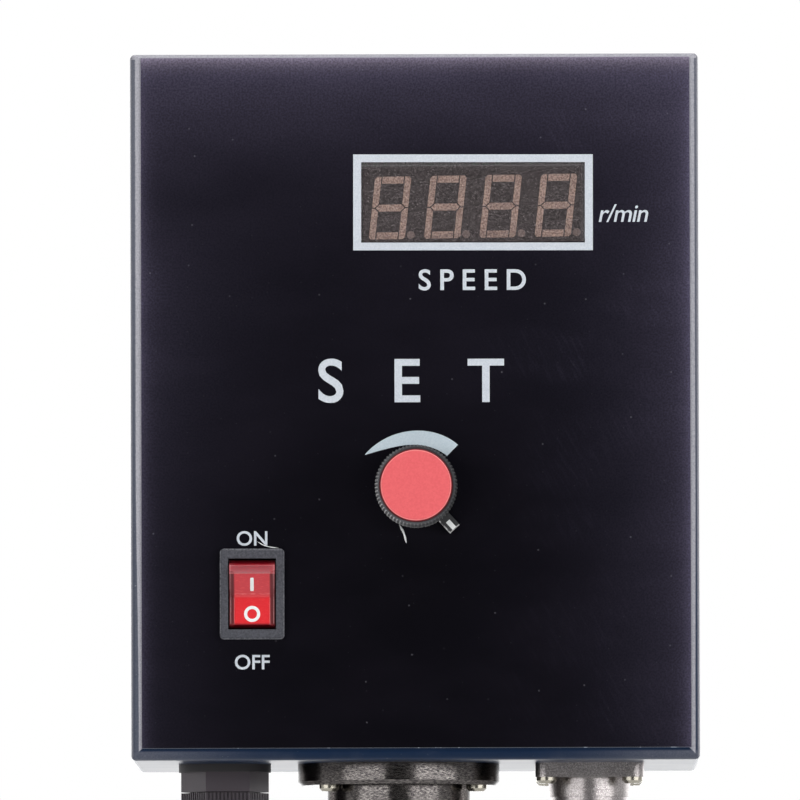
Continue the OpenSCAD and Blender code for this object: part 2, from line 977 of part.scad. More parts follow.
module display_standoffs() {
  color(brass)
    at_display()
      at_corners(display_post_x, display_post_y)
        translate([0, 0, module_back])
          tube(display_post_r, display_screw_d / 2 + thread_gap, module_t);
}

module display_screws() {
  color(steel)
    at_display()
      at_corners(display_post_x, display_post_y)
        translate([0, 0, module_back - pcb_t])
          rotate([180, 0, 0])
            pan_screw(display_screw_d, pcb_t + thread_share * module_t,
                      1.8 * display_screw_d, 0.7 * display_screw_d);
}

// Knob and potentiometer
module at_knob() {
  at_front(knob_x, knob_z)
    children();
}

module knob_body() {
  color(black_plastic)
    at_knob()
      difference() {
        union() {
          intersection() {
            translate([0, 0, ring_top])
              linear_extrude(knob_top - ring_top)
                fluted_circle();
            rotate_extrude()
              polygon([
                [0, ring_top], [knob_r + over, ring_top], [knob_r + over, ring_top + skirt_h],
                [front_r, knob_top - skirt_edge], [front_r - skirt_edge, knob_top], [0, knob_top]
              ]);
          }
          translate([0, 0, knob_base])
            cylinder(r = spigot_r, h = pointer_h + over);
        }
        translate([0, 0, knob_base - over])
          cylinder(r = knob_recess_r, h = web_base - knob_base + over);
        translate([0, 0, web_base])
          cylinder(r1 = collet_base_r + run_gap, r2 = collet_top_r + run_gap, h = web_top - web_base);
        translate([0, 0, web_top - join])
          cylinder(r = collet_nut_r + fit_gap, h = cap_base - web_top + over);
        translate([0, 0, cap_base])
          cylinder(r = cap_r + fit_gap, h = knob_top - cap_base + over);
      }
}

module fluted_circle() {
  difference() {
    circle(knob_r);
    ring_of(flute_n, knob_r + flute_r * 0.3)
      circle(flute_r);
  }
}

module knob_cap() {
  color([0.93, 0.36, 0.38])
    at_knob()
      rotate_extrude()
        polygon([
          [0, cap_base], [cap_r, cap_base], [cap_r, cap_top - rim_edge], [cap_r - rim_edge, cap_top],
          [0, cap_top]
        ]);
}

module at_pointer() {
  at_knob()
    rotate([0, 0, 90 - pointer_angle])
      children();
}

module mark_bar(w, grow) {
  translate([mark_start, -w / 2, ring_top - mark_t])
    cube([pointer_reach - mark_start - mark_end, w, mark_t + grow]);
}

module knob_pointer() {
  color(black_plastic)
    at_pointer()
      difference() {
        union() {
          translate([0, 0, knob_base])
            cylinder(r = ring_out_r, h = pointer_h);
          translate([0, -pointer_w / 2, knob_base])
            cube([pointer_reach, pointer_w, pointer_h]);
        }
        translate([0, 0, knob_base - over])
          cylinder(r = ring_in_r, h = pointer_h + 2 * over);
        mark_bar(mark_w, over);
      }
}

module pointer_mark() {
  color("white")
    at_pointer()
      mark_bar(mark_w, 0);
}

module knob_collet() {
  color(brass)
    at_knob()
      difference() {
        union() {
          translate([0, 0, web_base])
            cylinder(r1 = collet_base_r, r2 = collet_top_r, h = web_top - web_base);
          translate([0, 0, web_top - join])
            cylinder(r = stem_r, h = collet_nut_h + join);
        }
        translate([0, 0, web_base - over])
          cylinder(r = shaft_r + run_gap, h = web_top + collet_nut_h - web_base + 2 * over);
        translate([0, 0, web_base])
          cube([2 * collet_base_r + over, collet_slot_w, 2 * collet_slot_l], center = true);
      }
}

module collet_nut() {
  color(brass)
    at_knob()
      translate([0, 0, web_top])
        difference() {
          tube(collet_nut_r, stem_r + thread_gap, collet_nut_h);
          translate([0, 0, collet_nut_h])
            cube([2 * collet_nut_r + over, driver_slot_w, 2 * driver_slot_l], center = true);
        }
}

module pot_shaft() {
  start = pot_case_back + pot_wall + move_gap;
  color(steel)
    at_knob()
      translate([0, 0, start])
        cylinder(r = shaft_r, h = shaft_top - start);
}

module pot_rotor() {
  rotor_r = pot_d / 2 - pot_wall - rotor_rim;
  color(black_plastic)
    at_knob()
      translate([0, 0, track_back - rotor_gap - rotor_t]) {
        tube(rotor_r, shaft_r + run_gap / 2, rotor_t);
        translate([rotor_r - brush_inset, -brush_w / 2, rotor_t - join])
          cube([brush_w, brush_w, brush_lift + join]);
      }
}

module pot_bush() {
  color(brass)
    at_knob()
      difference() {
        union() {
          translate([0, 0, pot_plate_back])
            cylinder(d = pot_d, h = pot_plate_t);
          translate([0, 0, pot_plate_back])
            cylinder(r = bush_r, h = bush_top - pot_plate_back);
          translate([0, lug_y, pot_plate_back])
            cylinder(r = lug_r, h = pot_plate_t + sheet_t - fit_gap);
        }
        translate([0, 0, pot_plate_back - over])
          cylinder(r = shaft_r + run_gap, h = bush_top - pot_plate_back + 2 * over);
      }
}

module pot_case() {
  color(steel)
    at_knob()
      difference() {
        translate([0, 0, pot_case_back])
          cylinder(d = pot_d, h = pot_case_l);
        translate([0, 0, pot_case_back + pot_wall])
          cylinder(r = pot_d / 2 - pot_wall, h = pot_case_l);
        translate([-tongue_w / 2 - fit_gap, -pot_d, track_back - fit_gap])
          cube([tongue_w + 2 * fit_gap, pot_d, track_t + fit_gap + over]);
      }
}

module pot_track() {
  color([0.35, 0.2, 0.1])
    at_knob()
      translate([0, 0, track_back])
        linear_extrude(track_t)
          difference() {
            union() {
              circle(pot_d / 2 - pot_wall - fit_gap);
              translate([-tongue_w / 2, -tongue_y])
                square([tongue_w, tongue_y]);
            }
            circle(shaft_r + track_hole_gap);
          }
}

module pot_terminals() {
  color(steel)
    at_knob()
      for (i = [-1, 0, 1])
        translate([i * pot_lug_pitch, -tongue_y - pot_lug_reach, track_back - pot_lug_t])
          linear_extrude(pot_lug_t)
            difference() {
              translate([-pot_lug_w / 2, 0])
                square([pot_lug_w, pot_lug_l]);
              translate([0, pot_lug_reach / 2])
                circle(pot_lug_hole_r);
            }
}

module pot_washer() {
  color(steel)
    at_knob()
      translate([0, 0, film_t])
        tube(pot_washer_r, bush_r + fit_gap, pot_washer_t);
}

module pot_nut() {
  color(steel)
    at_knob()
      translate([0, 0, nut_base])
        hex_nut(pot_nut_af, bush_r + thread_gap, pot_nut_h);
}

// Switch
module at_switch() {
  at_front(switch_x, switch_z)
    children();
}

// A block whose front edges are chamfered on all four sides
module chamfered_bezel(w, h, t, edge) {
  intersection() {
    linear_extrude(t)
      rounded_square(w, h, bezel_corner);
    rotate([90, 0, 0])
      linear_extrude(h + over, center = true)
        chamfered_side(w, t, edge, edge);
    rotate([90, 0, 90])
      linear_extrude(w + over, center = true)
        chamfered_side(h, t, edge, edge);
  }
}

module chamfered_side(w, t, edge_w, edge_t) {
  polygon([
    [-w / 2, 0], [w / 2, 0], [w / 2, t - edge_t], [w / 2 - edge_w, t], [edge_w - w / 2, t],
    [-w / 2, t - edge_t]
  ]);
}

module switch_frame() {
  wing_top = -sheet_t - fit_gap;
  color(black_plastic)
    at_switch()
      difference() {
        union() {
          translate([0, 0, film_t])
            chamfered_bezel(bezel_w, bezel_h, bezel_t, bezel_edge);
          translate([0, 0, switch_back])
            linear_extrude(film_t - switch_back + over / 2)
              square([switch_w, switch_h], center = true);
          for (side = [-1, 1])
            rotate([90, 0, 90])
              linear_extrude(wing_w, center = true)
                polygon([
                  [side * (switch_h / 2 - wing_root), wing_top],
                  [side * (switch_h / 2 + wing_reach), wing_top],
                  [side * (switch_h / 2 - wing_root), wing_top - wing_l]
                ]);
        }
        translate([0, 0, switch_floor_top])
          linear_extrude(bezel_top - switch_floor_top + over)
            square([rocker_slot_w, rocker_slot_h], center = true);
        translate([0, 0, pivot_z])
          rotate([0, 90, 0])
            cylinder(r = rocker_pin_d / 2 + run_gap, h = switch_w + over, center = true);
        for (y = [-1, 0, 1])
          translate([0, y * terminal_pitch, switch_back])
            cube([terminal_w + fit_gap, terminal_t + fit_gap, 2 * switch_floor + over], center = true);
      }
}

module at_rocker(turn = 0) {
  at_switch()
    translate([0, 0, pivot_z])
      rotate([turn, 0, 0])
        children();
}

// A bar along the rocker with one flat face, bevelled along both sides
module rocker_half() {
  rotate([90, 0, 0])
    linear_extrude(2 * (rocker_r + over), center = true)
      translate([0, -rocker_under])
        chamfered_side(rocker_w, rocker_face + rocker_under, rocker_bevel_w, rocker_bevel_t);
}

// Two faces that meet in a shallow valley, with ends round about the pivot and a leg below
module switch_rocker() {
  color([0.8, 0.12, 0.16])
    difference() {
      union() {
        intersection() {
          at_rocker()
            rotate([0, 90, 0])
              cylinder(r = rocker_r, h = rocker_w + over, center = true);
          union()
            for (turn = [0, rocker_tip])
              at_rocker(turn)
                rocker_half();
        }
        at_rocker(rocker_tip / 2)
          translate([-rocker_w / 2, -rocker_leg_w / 2, -rocker_leg_l])
            cube([rocker_w, rocker_leg_w, rocker_leg_l]);
        at_rocker()
          rotate([0, 90, 0])
            cylinder(d = rocker_pin_d, h = rocker_w + 2 * rocker_pin_reach, center = true);
      }
      at_rocker(rocker_tip / 2)
        translate([0, 0, -rocker_leg_l - over])
          cylinder(r = plunger_r + run_gap, h = plunger_l - (plunger_reach - rocker_leg_l) + over);
    }
}

// Round-nosed pin in the rocker's leg
module switch_plunger() {
  color(black_plastic)
    at_rocker(rocker_tip / 2)
      translate([0, 0, plunger_r - plunger_reach]) {
        cylinder(r = plunger_r, h = plunger_l - plunger_r);
        sphere(plunger_r);
      }
}

module switch_contact() {
  lever_l = 2 * terminal_pitch + terminal_t - 2 * lever_end;
  color(brass)
    at_switch()
      translate([0, 0, lever_z])
        rotate([-lever_tip, 0, 0]) {
          translate([-lever_w / 2, -lever_l / 2, 0])
            cube([lever_w, lever_l, lever_t]);
          rotate([0, 90, 0])
            cylinder(r = lever_bead_r, h = lever_w, center = true);
        }
}

module switch_terminals() {
  color(brass)
    at_switch()
      difference() {
        for (y = [-1, 0, 1])
          translate([-terminal_w / 2, y * terminal_pitch - terminal_t / 2, switch_floor_top - terminal_l])
            difference() {
              cube([terminal_w, terminal_t, terminal_l + (y == 0 ? lever_lift : 0)]);
              translate([terminal_w / 2, -over, terminal_hole_y])
                rotate([-90, 0, 0])
                  cylinder(r = terminal_hole_r, h = terminal_t + 2 * over);
            }
        translate([0, 0, lever_z])
          rotate([0, 90, 0])
            cylinder(r = lever_bead_r + lever_gap, h = terminal_w + over, center = true);
      }
}

// Cable gland
module gland_gasket() {
  color([0.05, 0.05, 0.05])
    at_floor(gland_x)
      tube(gasket_r, stem_out_r + 2 * fit_gap, gasket_t);
}

module gland_body() {
  color(black_plastic)
    at_floor(gland_x)
      difference() {
        union() {
          translate([0, 0, gasket_t])
            rotate([0, 0, -gland_turn])
              cylinder(r = gland_hex_r, h = gland_hex_h, $fn = 6);
          translate([0, 0, -gland_stub_l])
            cylinder(r = stem_out_r, h = gland_stub_l + stem_end);
        }
        translate([0, 0, -gland_stub_l - over])
          cylinder(r = gland_bore_r, h = gland_stub_l + stem_end + 2 * over);
        translate([0, 0, seal_start])
          cylinder(r = seal_r + fit_gap, h = stem_end - seal_start + over);
      }
}

module gland_seal() {
  color([0.16, 0.16, 0.16])
    at_floor(gland_x)
      translate([0, 0, seal_start])
        tube(seal_r, cable_d / 2, seal_end - seal_start);
}

// Hexagon with fine grip ribs in the middle of each flat
module ribbed_hexagon() {
  difference() {
    circle(gland_hex_r, $fn = 6);
    for (flat = [0 : 5], i = [0 : rib_n - 1])
      rotate(flat * 60)
        translate([(i - (rib_n - 1) / 2) * rib_pitch, gland_af / 2])
          square([rib_pitch / 2, 2 * rib_depth], center = true);
  }
}

module gland_dome_nut() {
  mouth_r = gland_bore_r + dome_mouth_gap;
  inner_end = dome_end - dome_mouth_l;
  color(black_plastic)
    at_floor(gland_x)
      difference() {
        intersection() {
          translate([0, 0, dome_start])
            rotate([0, 0, -gland_turn])
              linear_extrude(dome_l)
                ribbed_hexagon();
          rotate_extrude()
            union() {
              translate([0, dome_start])
                square([gland_hex_r + over, dome_l - dome_round]);
              translate([0, dome_start])
                square([gland_hex_r - dome_round, dome_l]);
              translate([gland_hex_r - dome_round, dome_end - dome_round])
                intersection() {
                  circle(dome_round);
                  square(dome_round + over);
                }
            }
        }
        translate([0, 0, dome_start - over])
          cylinder(r = stem_out_r + thread_gap, h = seal_end - dome_start + over);
        translate([0, 0, seal_end - join])
          cylinder(r1 = stem_out_r - dome_cone_step, r2 = mouth_r, h = inner_end - seal_end + join);
        translate([0, 0, inner_end - join])
          cylinder(r = mouth_r, h = dome_end - inner_end + over);
      }
}

module gland_locknut() {
  color(black_plastic)
    at_floor(gland_x)
      translate([0, 0, -sheet_t - locknut_t])
        hex_nut(gland_af, stem_out_r + thread_gap, locknut_t);
}

// Sockets
module at_motor_screws() {
  ring_of(motor_screw_n, motor_screw_r, motor_screw_turn)
    children();
}

module at_sensor_screws() {
  at_corners(sensor_screw_pitch / 2, sensor_screw_pitch / 2)
    children();
}

// Shell of a panel socket: a neck, a groove and a thread below its flange, and a sleeve through the floor
module socket_shell(flange_t, shell_r, end, sleeve_r, sleeve_l, bore_r) {
  difference() {
    union() {
      children();
      rotate_extrude()
        polygon([
          [0, flange_t / 2], [shell_r, flange_t / 2], [shell_r, flange_t + neck_l],
          [shell_r - groove_t, flange_t + neck_l], [shell_r - groove_t, flange_t + neck_end],
          [shell_r, flange_t + neck_end], [shell_r, end - shell_edge], [shell_r - shell_edge, end],
          [0, end]
        ]);
      translate([0, 0, -sleeve_l])
        cylinder(r = sleeve_r, h = sleeve_l + flange_t / 2);
    }
    translate([0, 0, rear_lip - sleeve_l])
      cylinder(r = bore_r, h = sleeve_l + end - rear_lip + over);
    translate([0, 0, -sleeve_l - over])
      cylinder(r = bore_r - rear_lip, h = rear_lip + 2 * over);
  }
}

// Insulator with a keyway and one hole for each contact
module socket_insert(r, start, end, contact_n, contact_r, circle_r) {
  difference() {
    translate([0, 0, start])
      cylinder(r = r, h = end - start);
    ring_of(contact_n, circle_r, contact_turn)
      translate([0, 0, start - over])
        cylinder(r = contact_r + run_gap, h = end - start + 2 * over);
    translate([-key_w / 2, r - key_w / 2, end - key_l])
      cube([key_w, key_w, key_l + over]);
  }
}

// Tubes that the plug's pins enter, with solder tails above
module socket_contacts(contact_n, contact_r, circle_r, start, end) {
  ring_of(contact_n, circle_r, contact_turn)
    difference() {
      translate([0, 0, start])
        cylinder(r = contact_r, h = end - start);
      translate([0, 0, end - contact_hole_l])
        cylinder(r = contact_r * contact_hole_ratio, h = contact_hole_l + over);
    }
}

module screw_nuts() {
  translate([0, 0, -sheet_t - screw_nut_h])
    hex_nut(2 * screw_nut_r / hex_corner, screw_d / 2 + thread_gap, screw_nut_h);
}

module motor_socket() {
  flange_r = motor_flange_d / 2;
  color(gunmetal)
    at_floor(motor_x)
      difference() {
        socket_shell(motor_flange_t, motor_shell_d / 2, motor_end,
                     motor_sleeve_r, motor_sleeve_l, motor_bore_r)
          rotate_extrude()
            polygon([
              [0, 0], [flange_r, 0], [flange_r, motor_flange_t - motor_edge],
              [flange_r - motor_edge, motor_flange_t], [0, motor_flange_t]
            ]);
        at_motor_screws()
          translate([0, 0, -over])
            cylinder(r = screw_hole_r, h = motor_flange_t + 2 * over);
      }
}

module motor_insert() {
  color(black_plastic)
    at_floor(motor_x)
      socket_insert(motor_bore_r - fit_gap, rear_lip - motor_sleeve_l, motor_end - mouth_depth,
                    motor_contact_n, motor_contact_d / 2, motor_circle_r);
}

module motor_contacts() {
  color(brass)
    at_floor(motor_x)
      socket_contacts(motor_contact_n, motor_contact_d / 2, motor_circle_r,
                      -motor_sleeve_l - motor_tail_l, motor_end - mouth_depth - contact_sink);
}

module motor_screws() {
  color(steel)
    at_floor(motor_x)
      at_motor_screws()
        translate([0, 0, motor_flange_t])
          pan_screw(screw_d, motor_flange_t + sheet_t + screw_nut_h + screw_end,
                    screw_head_d, screw_head_h);
}

module motor_nuts() {
  color(steel)
    at_floor(motor_x)
      at_motor_screws()
        screw_nuts();
}

module sensor_socket() {
  color(gunmetal)
    at_floor(sensor_x)
      difference() {
        socket_shell(sensor_flange_t, sensor_shell_d / 2, sensor_end,
                     sensor_sleeve_r, sensor_sleeve_l, sensor_bore_r)
          linear_extrude(sensor_flange_t)
            rounded_square(sensor_flange_w, sensor_flange_w, sensor_corner_r);
        at_sensor_screws()
          translate([0, 0, -over])
            cylinder(r = screw_hole_r, h = sensor_flange_t + 2 * over);
      }
}

module sensor_insert() {
  color(black_plastic)
    at_floor(sensor_x)
      socket_insert(sensor_bore_r - fit_gap, rear_lip - sensor_sleeve_l, sensor_end - mouth_depth,
                    sensor_contact_n, sensor_contact_d / 2, sensor_circle_r);
}

module sensor_contacts() {
  color(brass)
    at_floor(sensor_x)
      socket_contacts(sensor_contact_n, sensor_contact_d / 2, sensor_circle_r,
                      -sensor_sleeve_l - sensor_tail_l, sensor_end - mouth_depth - contact_sink);
}

module sensor_screws() {
  color(steel)
    at_floor(sensor_x)
      at_sensor_screws()
        translate([0, 0, sensor_flange_t])
          pan_screw(screw_d, sensor_flange_t + sheet_t + screw_nut_h + screw_end,
                    screw_head_d, screw_head_h);
}

module sensor_nuts() {
  color(steel)
    at_floor(sensor_x)
      at_sensor_screws()
        screw_nuts();
}

// Control board
module control_board() {
  color(board_green)
    at_board(0, 0)
      translate([0, 0, -pcb_t])
        difference() {
          linear_extrude(pcb_t)
            square([board_w, board_h], center = true);
          at_corners(board_post_x, board_post_z)
            translate([0, 0, -over])
              cylinder(d = board_screw_d + 2 * fit_gap, h = pcb_t + 2 * over);
        }
}

module board_standoffs() {
  color(brass)
    at_board(0, 0)
      at_corners(board_post_x, board_post_z)
        translate([0, 0, -pcb_t - board_lift])
          tube(standoff_d / 2, board_screw_d / 2 + thread_gap, board_lift);
}

module board_screws() {
  color(steel)
    at_board(0, 0)
      at_corners(board_post_x, board_post_z)
        pan_screw(board_screw_d, pcb_t + thread_share * board_lift,
                  1.8 * board_screw_d, 0.65 * board_screw_d);
}

module heat_sink() {
  fin_step = (sink_w - fin_t) / (fin_n - 1);
  color([0.6, 0.61, 0.63])
    at_board(0, sink_z)
      linear_extrude(sink_h) {
        translate([-sink_w / 2, 0])
          square([sink_w, sink_base]);
        for (i = [0 : fin_n - 1])
          translate([i * fin_step - sink_w / 2, 0])
            square([fin_t, sink_base + fin_l]);
      }
}

// Packages that stand on three legs with their tabs against the heat sink
module power_transistors() {
  color(black_plastic)
    at_board(0, sink_z)
      for (side = [-1, 1])
        translate([side * transistor_pitch / 2, 0, 0]) {
          translate([-transistor_w / 2, -transistor_t, transistor_leg_h])
            cube([transistor_w, transistor_t, transistor_h]);
          translate([-transistor_w / 2, -tab_t, transistor_leg_h + transistor_h - join])
            cube([transistor_w, tab_t, tab_h]);
          for (leg = [-1, 0, 1])
            translate([leg * lead_pitch - lead_w / 2, -transistor_t / 2 - lead_t / 2, 0])
              cube([lead_w, lead_t, transistor_leg_h + join]);
        }
}

module at_transformer() {
  at_board(transformer_x, transformer_z)
    children();
}

module transformer_core() {
  color([0.35, 0.35, 0.37])
    at_transformer()
      rotate([90, 0, 0])
        linear_extrude(core_stack, center = true)
          difference() {
            translate([-core_w / 2, 0])
              square([core_w, core_h]);
            for (side = [-1, 1])
              translate([side * 0.75 * core_leg - core_leg / 4, core_leg / 2])
                square([core_leg / 2, 1.5 * core_leg]);
          }
}

// Wound block round the middle leg, between the two yokes
module transformer_coil() {
  reach = core_leg / 2 - 3 * coil_gap;
  color(copper)
    at_transformer()
      translate([0, 0, core_leg / 2 + coil_gap])
        linear_extrude(1.5 * core_leg - 2 * coil_gap)
          difference() {
            rounded_square(core_leg + 2 * (coil_gap + reach), core_stack + 2 * (coil_gap + reach), coil_r);
            square([core_leg + 2 * coil_gap, core_stack + 2 * coil_gap], center = true);
          }
}

module capacitors() {
  r = cap_d / 2;
  dish_r = r - cap_roll;
  color([0.12, 0.14, 0.2])
    for (i = [0, 1])
      at_board(cap_x, cap_z - i * cap_pitch)
        rotate_extrude()
          polygon([
            [0, 0], [r, 0], [r, cap_groove_z - cap_groove], [r - cap_groove, cap_groove_z],
            [r, cap_groove_z + cap_groove], [r, cap_h - cap_edge], [r - cap_edge, cap_h],
            [dish_r, cap_h], [dish_r - cap_dish, cap_h - cap_dish], [0, cap_h - cap_dish]
          ]);
}

module terminal_block() {
  block_w = pole_n * pole_pitch;
  color([0.15, 0.4, 0.25])
    at_board(0, block_z)
      difference() {
        rotate([90, 0, 90])
          linear_extrude(block_w, center = true)
            polygon([
              [-block_d / 2, 0], [block_d / 2, 0], [block_d / 2, block_h - block_edge],
              [block_d / 2 - block_edge, block_h], [block_slope - block_d / 2, block_h],
              [-block_d / 2, block_h - block_slope]
            ]);
        for (i = [0 : pole_n - 1])
          translate([(i - (pole_n - 1) / 2) * pole_pitch, 0, 0]) {
            translate([0, pole_y, block_h - pole_screw_l])
              cylinder(r = pole_r, h = pole_screw_l + over);
            translate([0, -block_d / 2 - over, pole_wire_z])
              rotate([-90, 0, 0])
                cylinder(r = pole_r, h = pole_wire_l + over);
          }
      }
}

module relay() {
  color([0.1, 0.2, 0.45])
    at_board(relay_x, relay_z)
      rotate([90, 0, 0])
        linear_extrude(relay_size[1], center = true)
          chamfered_side(relay_size[0], relay_size[2], relay_edge, relay_edge);
}

module fuse() {
  color([0.8, 0.82, 0.85])
    at_board(0, fuse_z)
      translate([-fuse_l / 2, 0, fuse_axis])
        rotate([0, 90, 0]) {
          translate([0, 0, fuse_cap_l - join])
            cylinder(r = fuse_d / 2 - fuse_cap_t, h = fuse_l - 2 * (fuse_cap_l - join));
          for (x = [0, fuse_l - fuse_cap_l])
            translate([0, 0, x])
              cylinder(d = fuse_d, h = fuse_cap_l);
        }
}

// Two spring clips, each a strip bent into a cradle under the fuse
module fuse_clips() {
  inner = fuse_d / 2 + run_gap;
  color(brass)
    at_board(0, fuse_z)
      for (side = [-1, 1])
        translate([side * (fuse_l / 2 - clip_inset), 0, 0])
          rotate([90, 0, 90])
            linear_extrude(clip_l, center = true) {
              translate([-clip_foot / 2, 0])
                square([clip_foot, fuse_axis - inner]);
              translate([0, fuse_axis])
                difference() {
                  circle(inner + clip_t);
                  circle(inner);
                  translate([-inner - over, clip_open])
                    square([2 * (inner + over), inner + over]);
                }
            }
}

module control_chip() {
  leg_y = chip_size[1] / 2 + chip_leg_step;
  color(black_plastic)
    at_board(chip_x, chip_z) {
      translate([-chip_size[0] / 2, -chip_size[1] / 2, chip_lift])
        cube(chip_size);
      for (i = [0 : chip_leg_n - 1], side = [-1, 1])
        translate([(i - (chip_leg_n - 1) / 2) * lead_pitch, side * leg_y, 0])
          translate([-chip_leg_w / 2, -chip_leg_t / 2, 0])
            cube([chip_leg_w, chip_leg_t, chip_lift + chip_size[2] / 2]);
    }
}

case_shell();
front_overlay();
rear_plate();
rear_screws();
case_nuts();
mount_nuts();
display_window();
display_module();
display_segments();
display_board();
display_standoffs();
display_screws();
knob_body();
knob_cap();
knob_pointer();
pointer_mark();
knob_collet();
collet_nut();
pot_shaft();
pot_rotor();
pot_bush();
pot_case();
pot_track();
pot_terminals();
pot_washer();
pot_nut();
switch_frame();
switch_rocker();
switch_terminals();
switch_plunger();
switch_contact();
gland_gasket();
gland_body();
gland_seal();
gland_dome_nut();
gland_locknut();
motor_socket();
motor_insert();
motor_contacts();
motor_screws();
motor_nuts();
sensor_socket();
sensor_insert();
sensor_contacts();
sensor_screws();
sensor_nuts();
control_board();
board_standoffs();
board_screws();
heat_sink();
power_transistors();
transformer_core();
transformer_coil();
capacitors();
terminal_block();
relay();
fuse();
fuse_clips();
control_chip();
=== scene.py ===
import json
import math

import bmesh
import bpy
import numpy as np
from mathutils import Matrix, Vector


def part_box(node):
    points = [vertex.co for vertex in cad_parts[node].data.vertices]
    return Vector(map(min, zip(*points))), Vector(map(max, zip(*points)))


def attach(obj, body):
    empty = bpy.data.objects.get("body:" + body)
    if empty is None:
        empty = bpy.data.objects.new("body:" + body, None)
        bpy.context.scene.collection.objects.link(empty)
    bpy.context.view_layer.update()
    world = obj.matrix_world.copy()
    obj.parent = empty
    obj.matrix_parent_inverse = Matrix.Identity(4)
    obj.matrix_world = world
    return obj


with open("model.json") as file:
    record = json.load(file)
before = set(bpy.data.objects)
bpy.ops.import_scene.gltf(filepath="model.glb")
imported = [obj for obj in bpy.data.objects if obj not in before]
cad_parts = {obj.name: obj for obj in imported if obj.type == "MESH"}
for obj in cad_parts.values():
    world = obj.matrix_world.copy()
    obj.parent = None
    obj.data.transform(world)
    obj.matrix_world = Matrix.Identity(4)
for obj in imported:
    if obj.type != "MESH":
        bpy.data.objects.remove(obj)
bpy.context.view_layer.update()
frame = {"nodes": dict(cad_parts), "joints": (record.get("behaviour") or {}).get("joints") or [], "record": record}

mm = 0.001
nodes = frame["nodes"]
caseLow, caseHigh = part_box("case_shell")
filmLow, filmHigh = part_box("front_overlay")
frontY = caseLow.y    # outer face of the front sheet
filmY = filmLow.y     # printed face of the film
rockerPivot = next(Vector(joint["pos_m"]) for joint in frame["joints"] if joint["name"] == "rocker_tip")
print("frame loaded:", len(nodes), "solids")


# middle of a solid, right and up in millimetres
def middleOf(node):
    low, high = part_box(node)
    return ((low.x + high.x) / 2 / mm, (low.z + high.z) / 2 / mm)


# half its width and half its height
def halfOf(node):
    low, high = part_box(node)
    return ((high.x - low.x) / 2 / mm, (high.z - low.z) / 2 / mm)


# Colours

# a colour as a screen shows it, 0 to 255, turned into linear light
def tone(red, green, blue):
    share = np.array([red, green, blue]) / 255
    light = np.where(share <= 0.04045, share / 12.92, ((share + 0.055) / 1.055) ** 2.4)
    return (*light.tolist(), 1.0)


# a colour made paler or deeper
def shade(colour, factor, lift=0.0):
    return (*(min(1.0, value * factor + lift) for value in colour[:3]), 1.0)


# Camera

photoView = {
    "pixels": 800,
    "middle": (414.7, 406.6),     # pixel of the middle of the front
    "pixelsPerMm": 4.357,         # on the front sheet
    "distance": 4.15,             # camera to front sheet, in metres
    "right": 0.020,               # camera right of the middle of the case
    "below": 0.197,               # and below it
    "rollDegrees": -0.15,
    "sensorMm": 36.0,
    "farthest": 50.0,
}


# the camera aims at the point of the front sheet that lies in the middle of the picture
def placeCamera(view):
    scale = view["pixelsPerMm"] / mm
    half = view["pixels"] / 2
    target = Vector(((half - view["middle"][0]) / scale, frontY, (view["middle"][1] - half) / scale))
    eye = Vector((view["right"], frontY - view["distance"], -view["below"]))
    look = (target - eye).to_track_quat("-Z", "Y").to_matrix().to_4x4()
    roll = Matrix.Rotation(math.radians(view["rollDegrees"]), 4, "Z")
    data = bpy.data.cameras.new("photoCamera")
    data.sensor_width = view["sensorMm"]
    data.lens = view["sensorMm"] * (target - eye).length / (view["pixels"] / scale)
    data.clip_end = view["farthest"]
    camera = bpy.data.objects.new("photoCamera", data)
    camera.matrix_world = Matrix.Translation(eye) @ look @ roll
    bpy.context.scene.collection.objects.link(camera)
    bpy.context.scene.camera = camera
    print("camera: lens", round(data.lens, 1), "mm")


placeCamera(photoView)


# Shader maths

class Link:
    # a socket; arithmetic with it adds Math nodes
    def __init__(self, finish, socket):
        self.finish = finish
        self.socket = socket

    # another output of the same node
    def output(self, key):
        return Link(self.finish, self.socket.node.outputs[key])

    def __add__(self, other):
        return self.finish.calc("ADD", self, other)

    def __radd__(self, other):
        return self.finish.calc("ADD", other, self)

    def __sub__(self, other):
        return self.finish.calc("SUBTRACT", self, other)

    def __rsub__(self, other):
        return self.finish.calc("SUBTRACT", other, self)

    def __mul__(self, other):
        return self.finish.calc("MULTIPLY", self, other)

    def __rmul__(self, other):
        return self.finish.calc("MULTIPLY", other, self)

    def __truediv__(self, other):
        return self.finish.calc("DIVIDE", self, other)

    def __abs__(self):
        return self.finish.calc("ABSOLUTE", self)


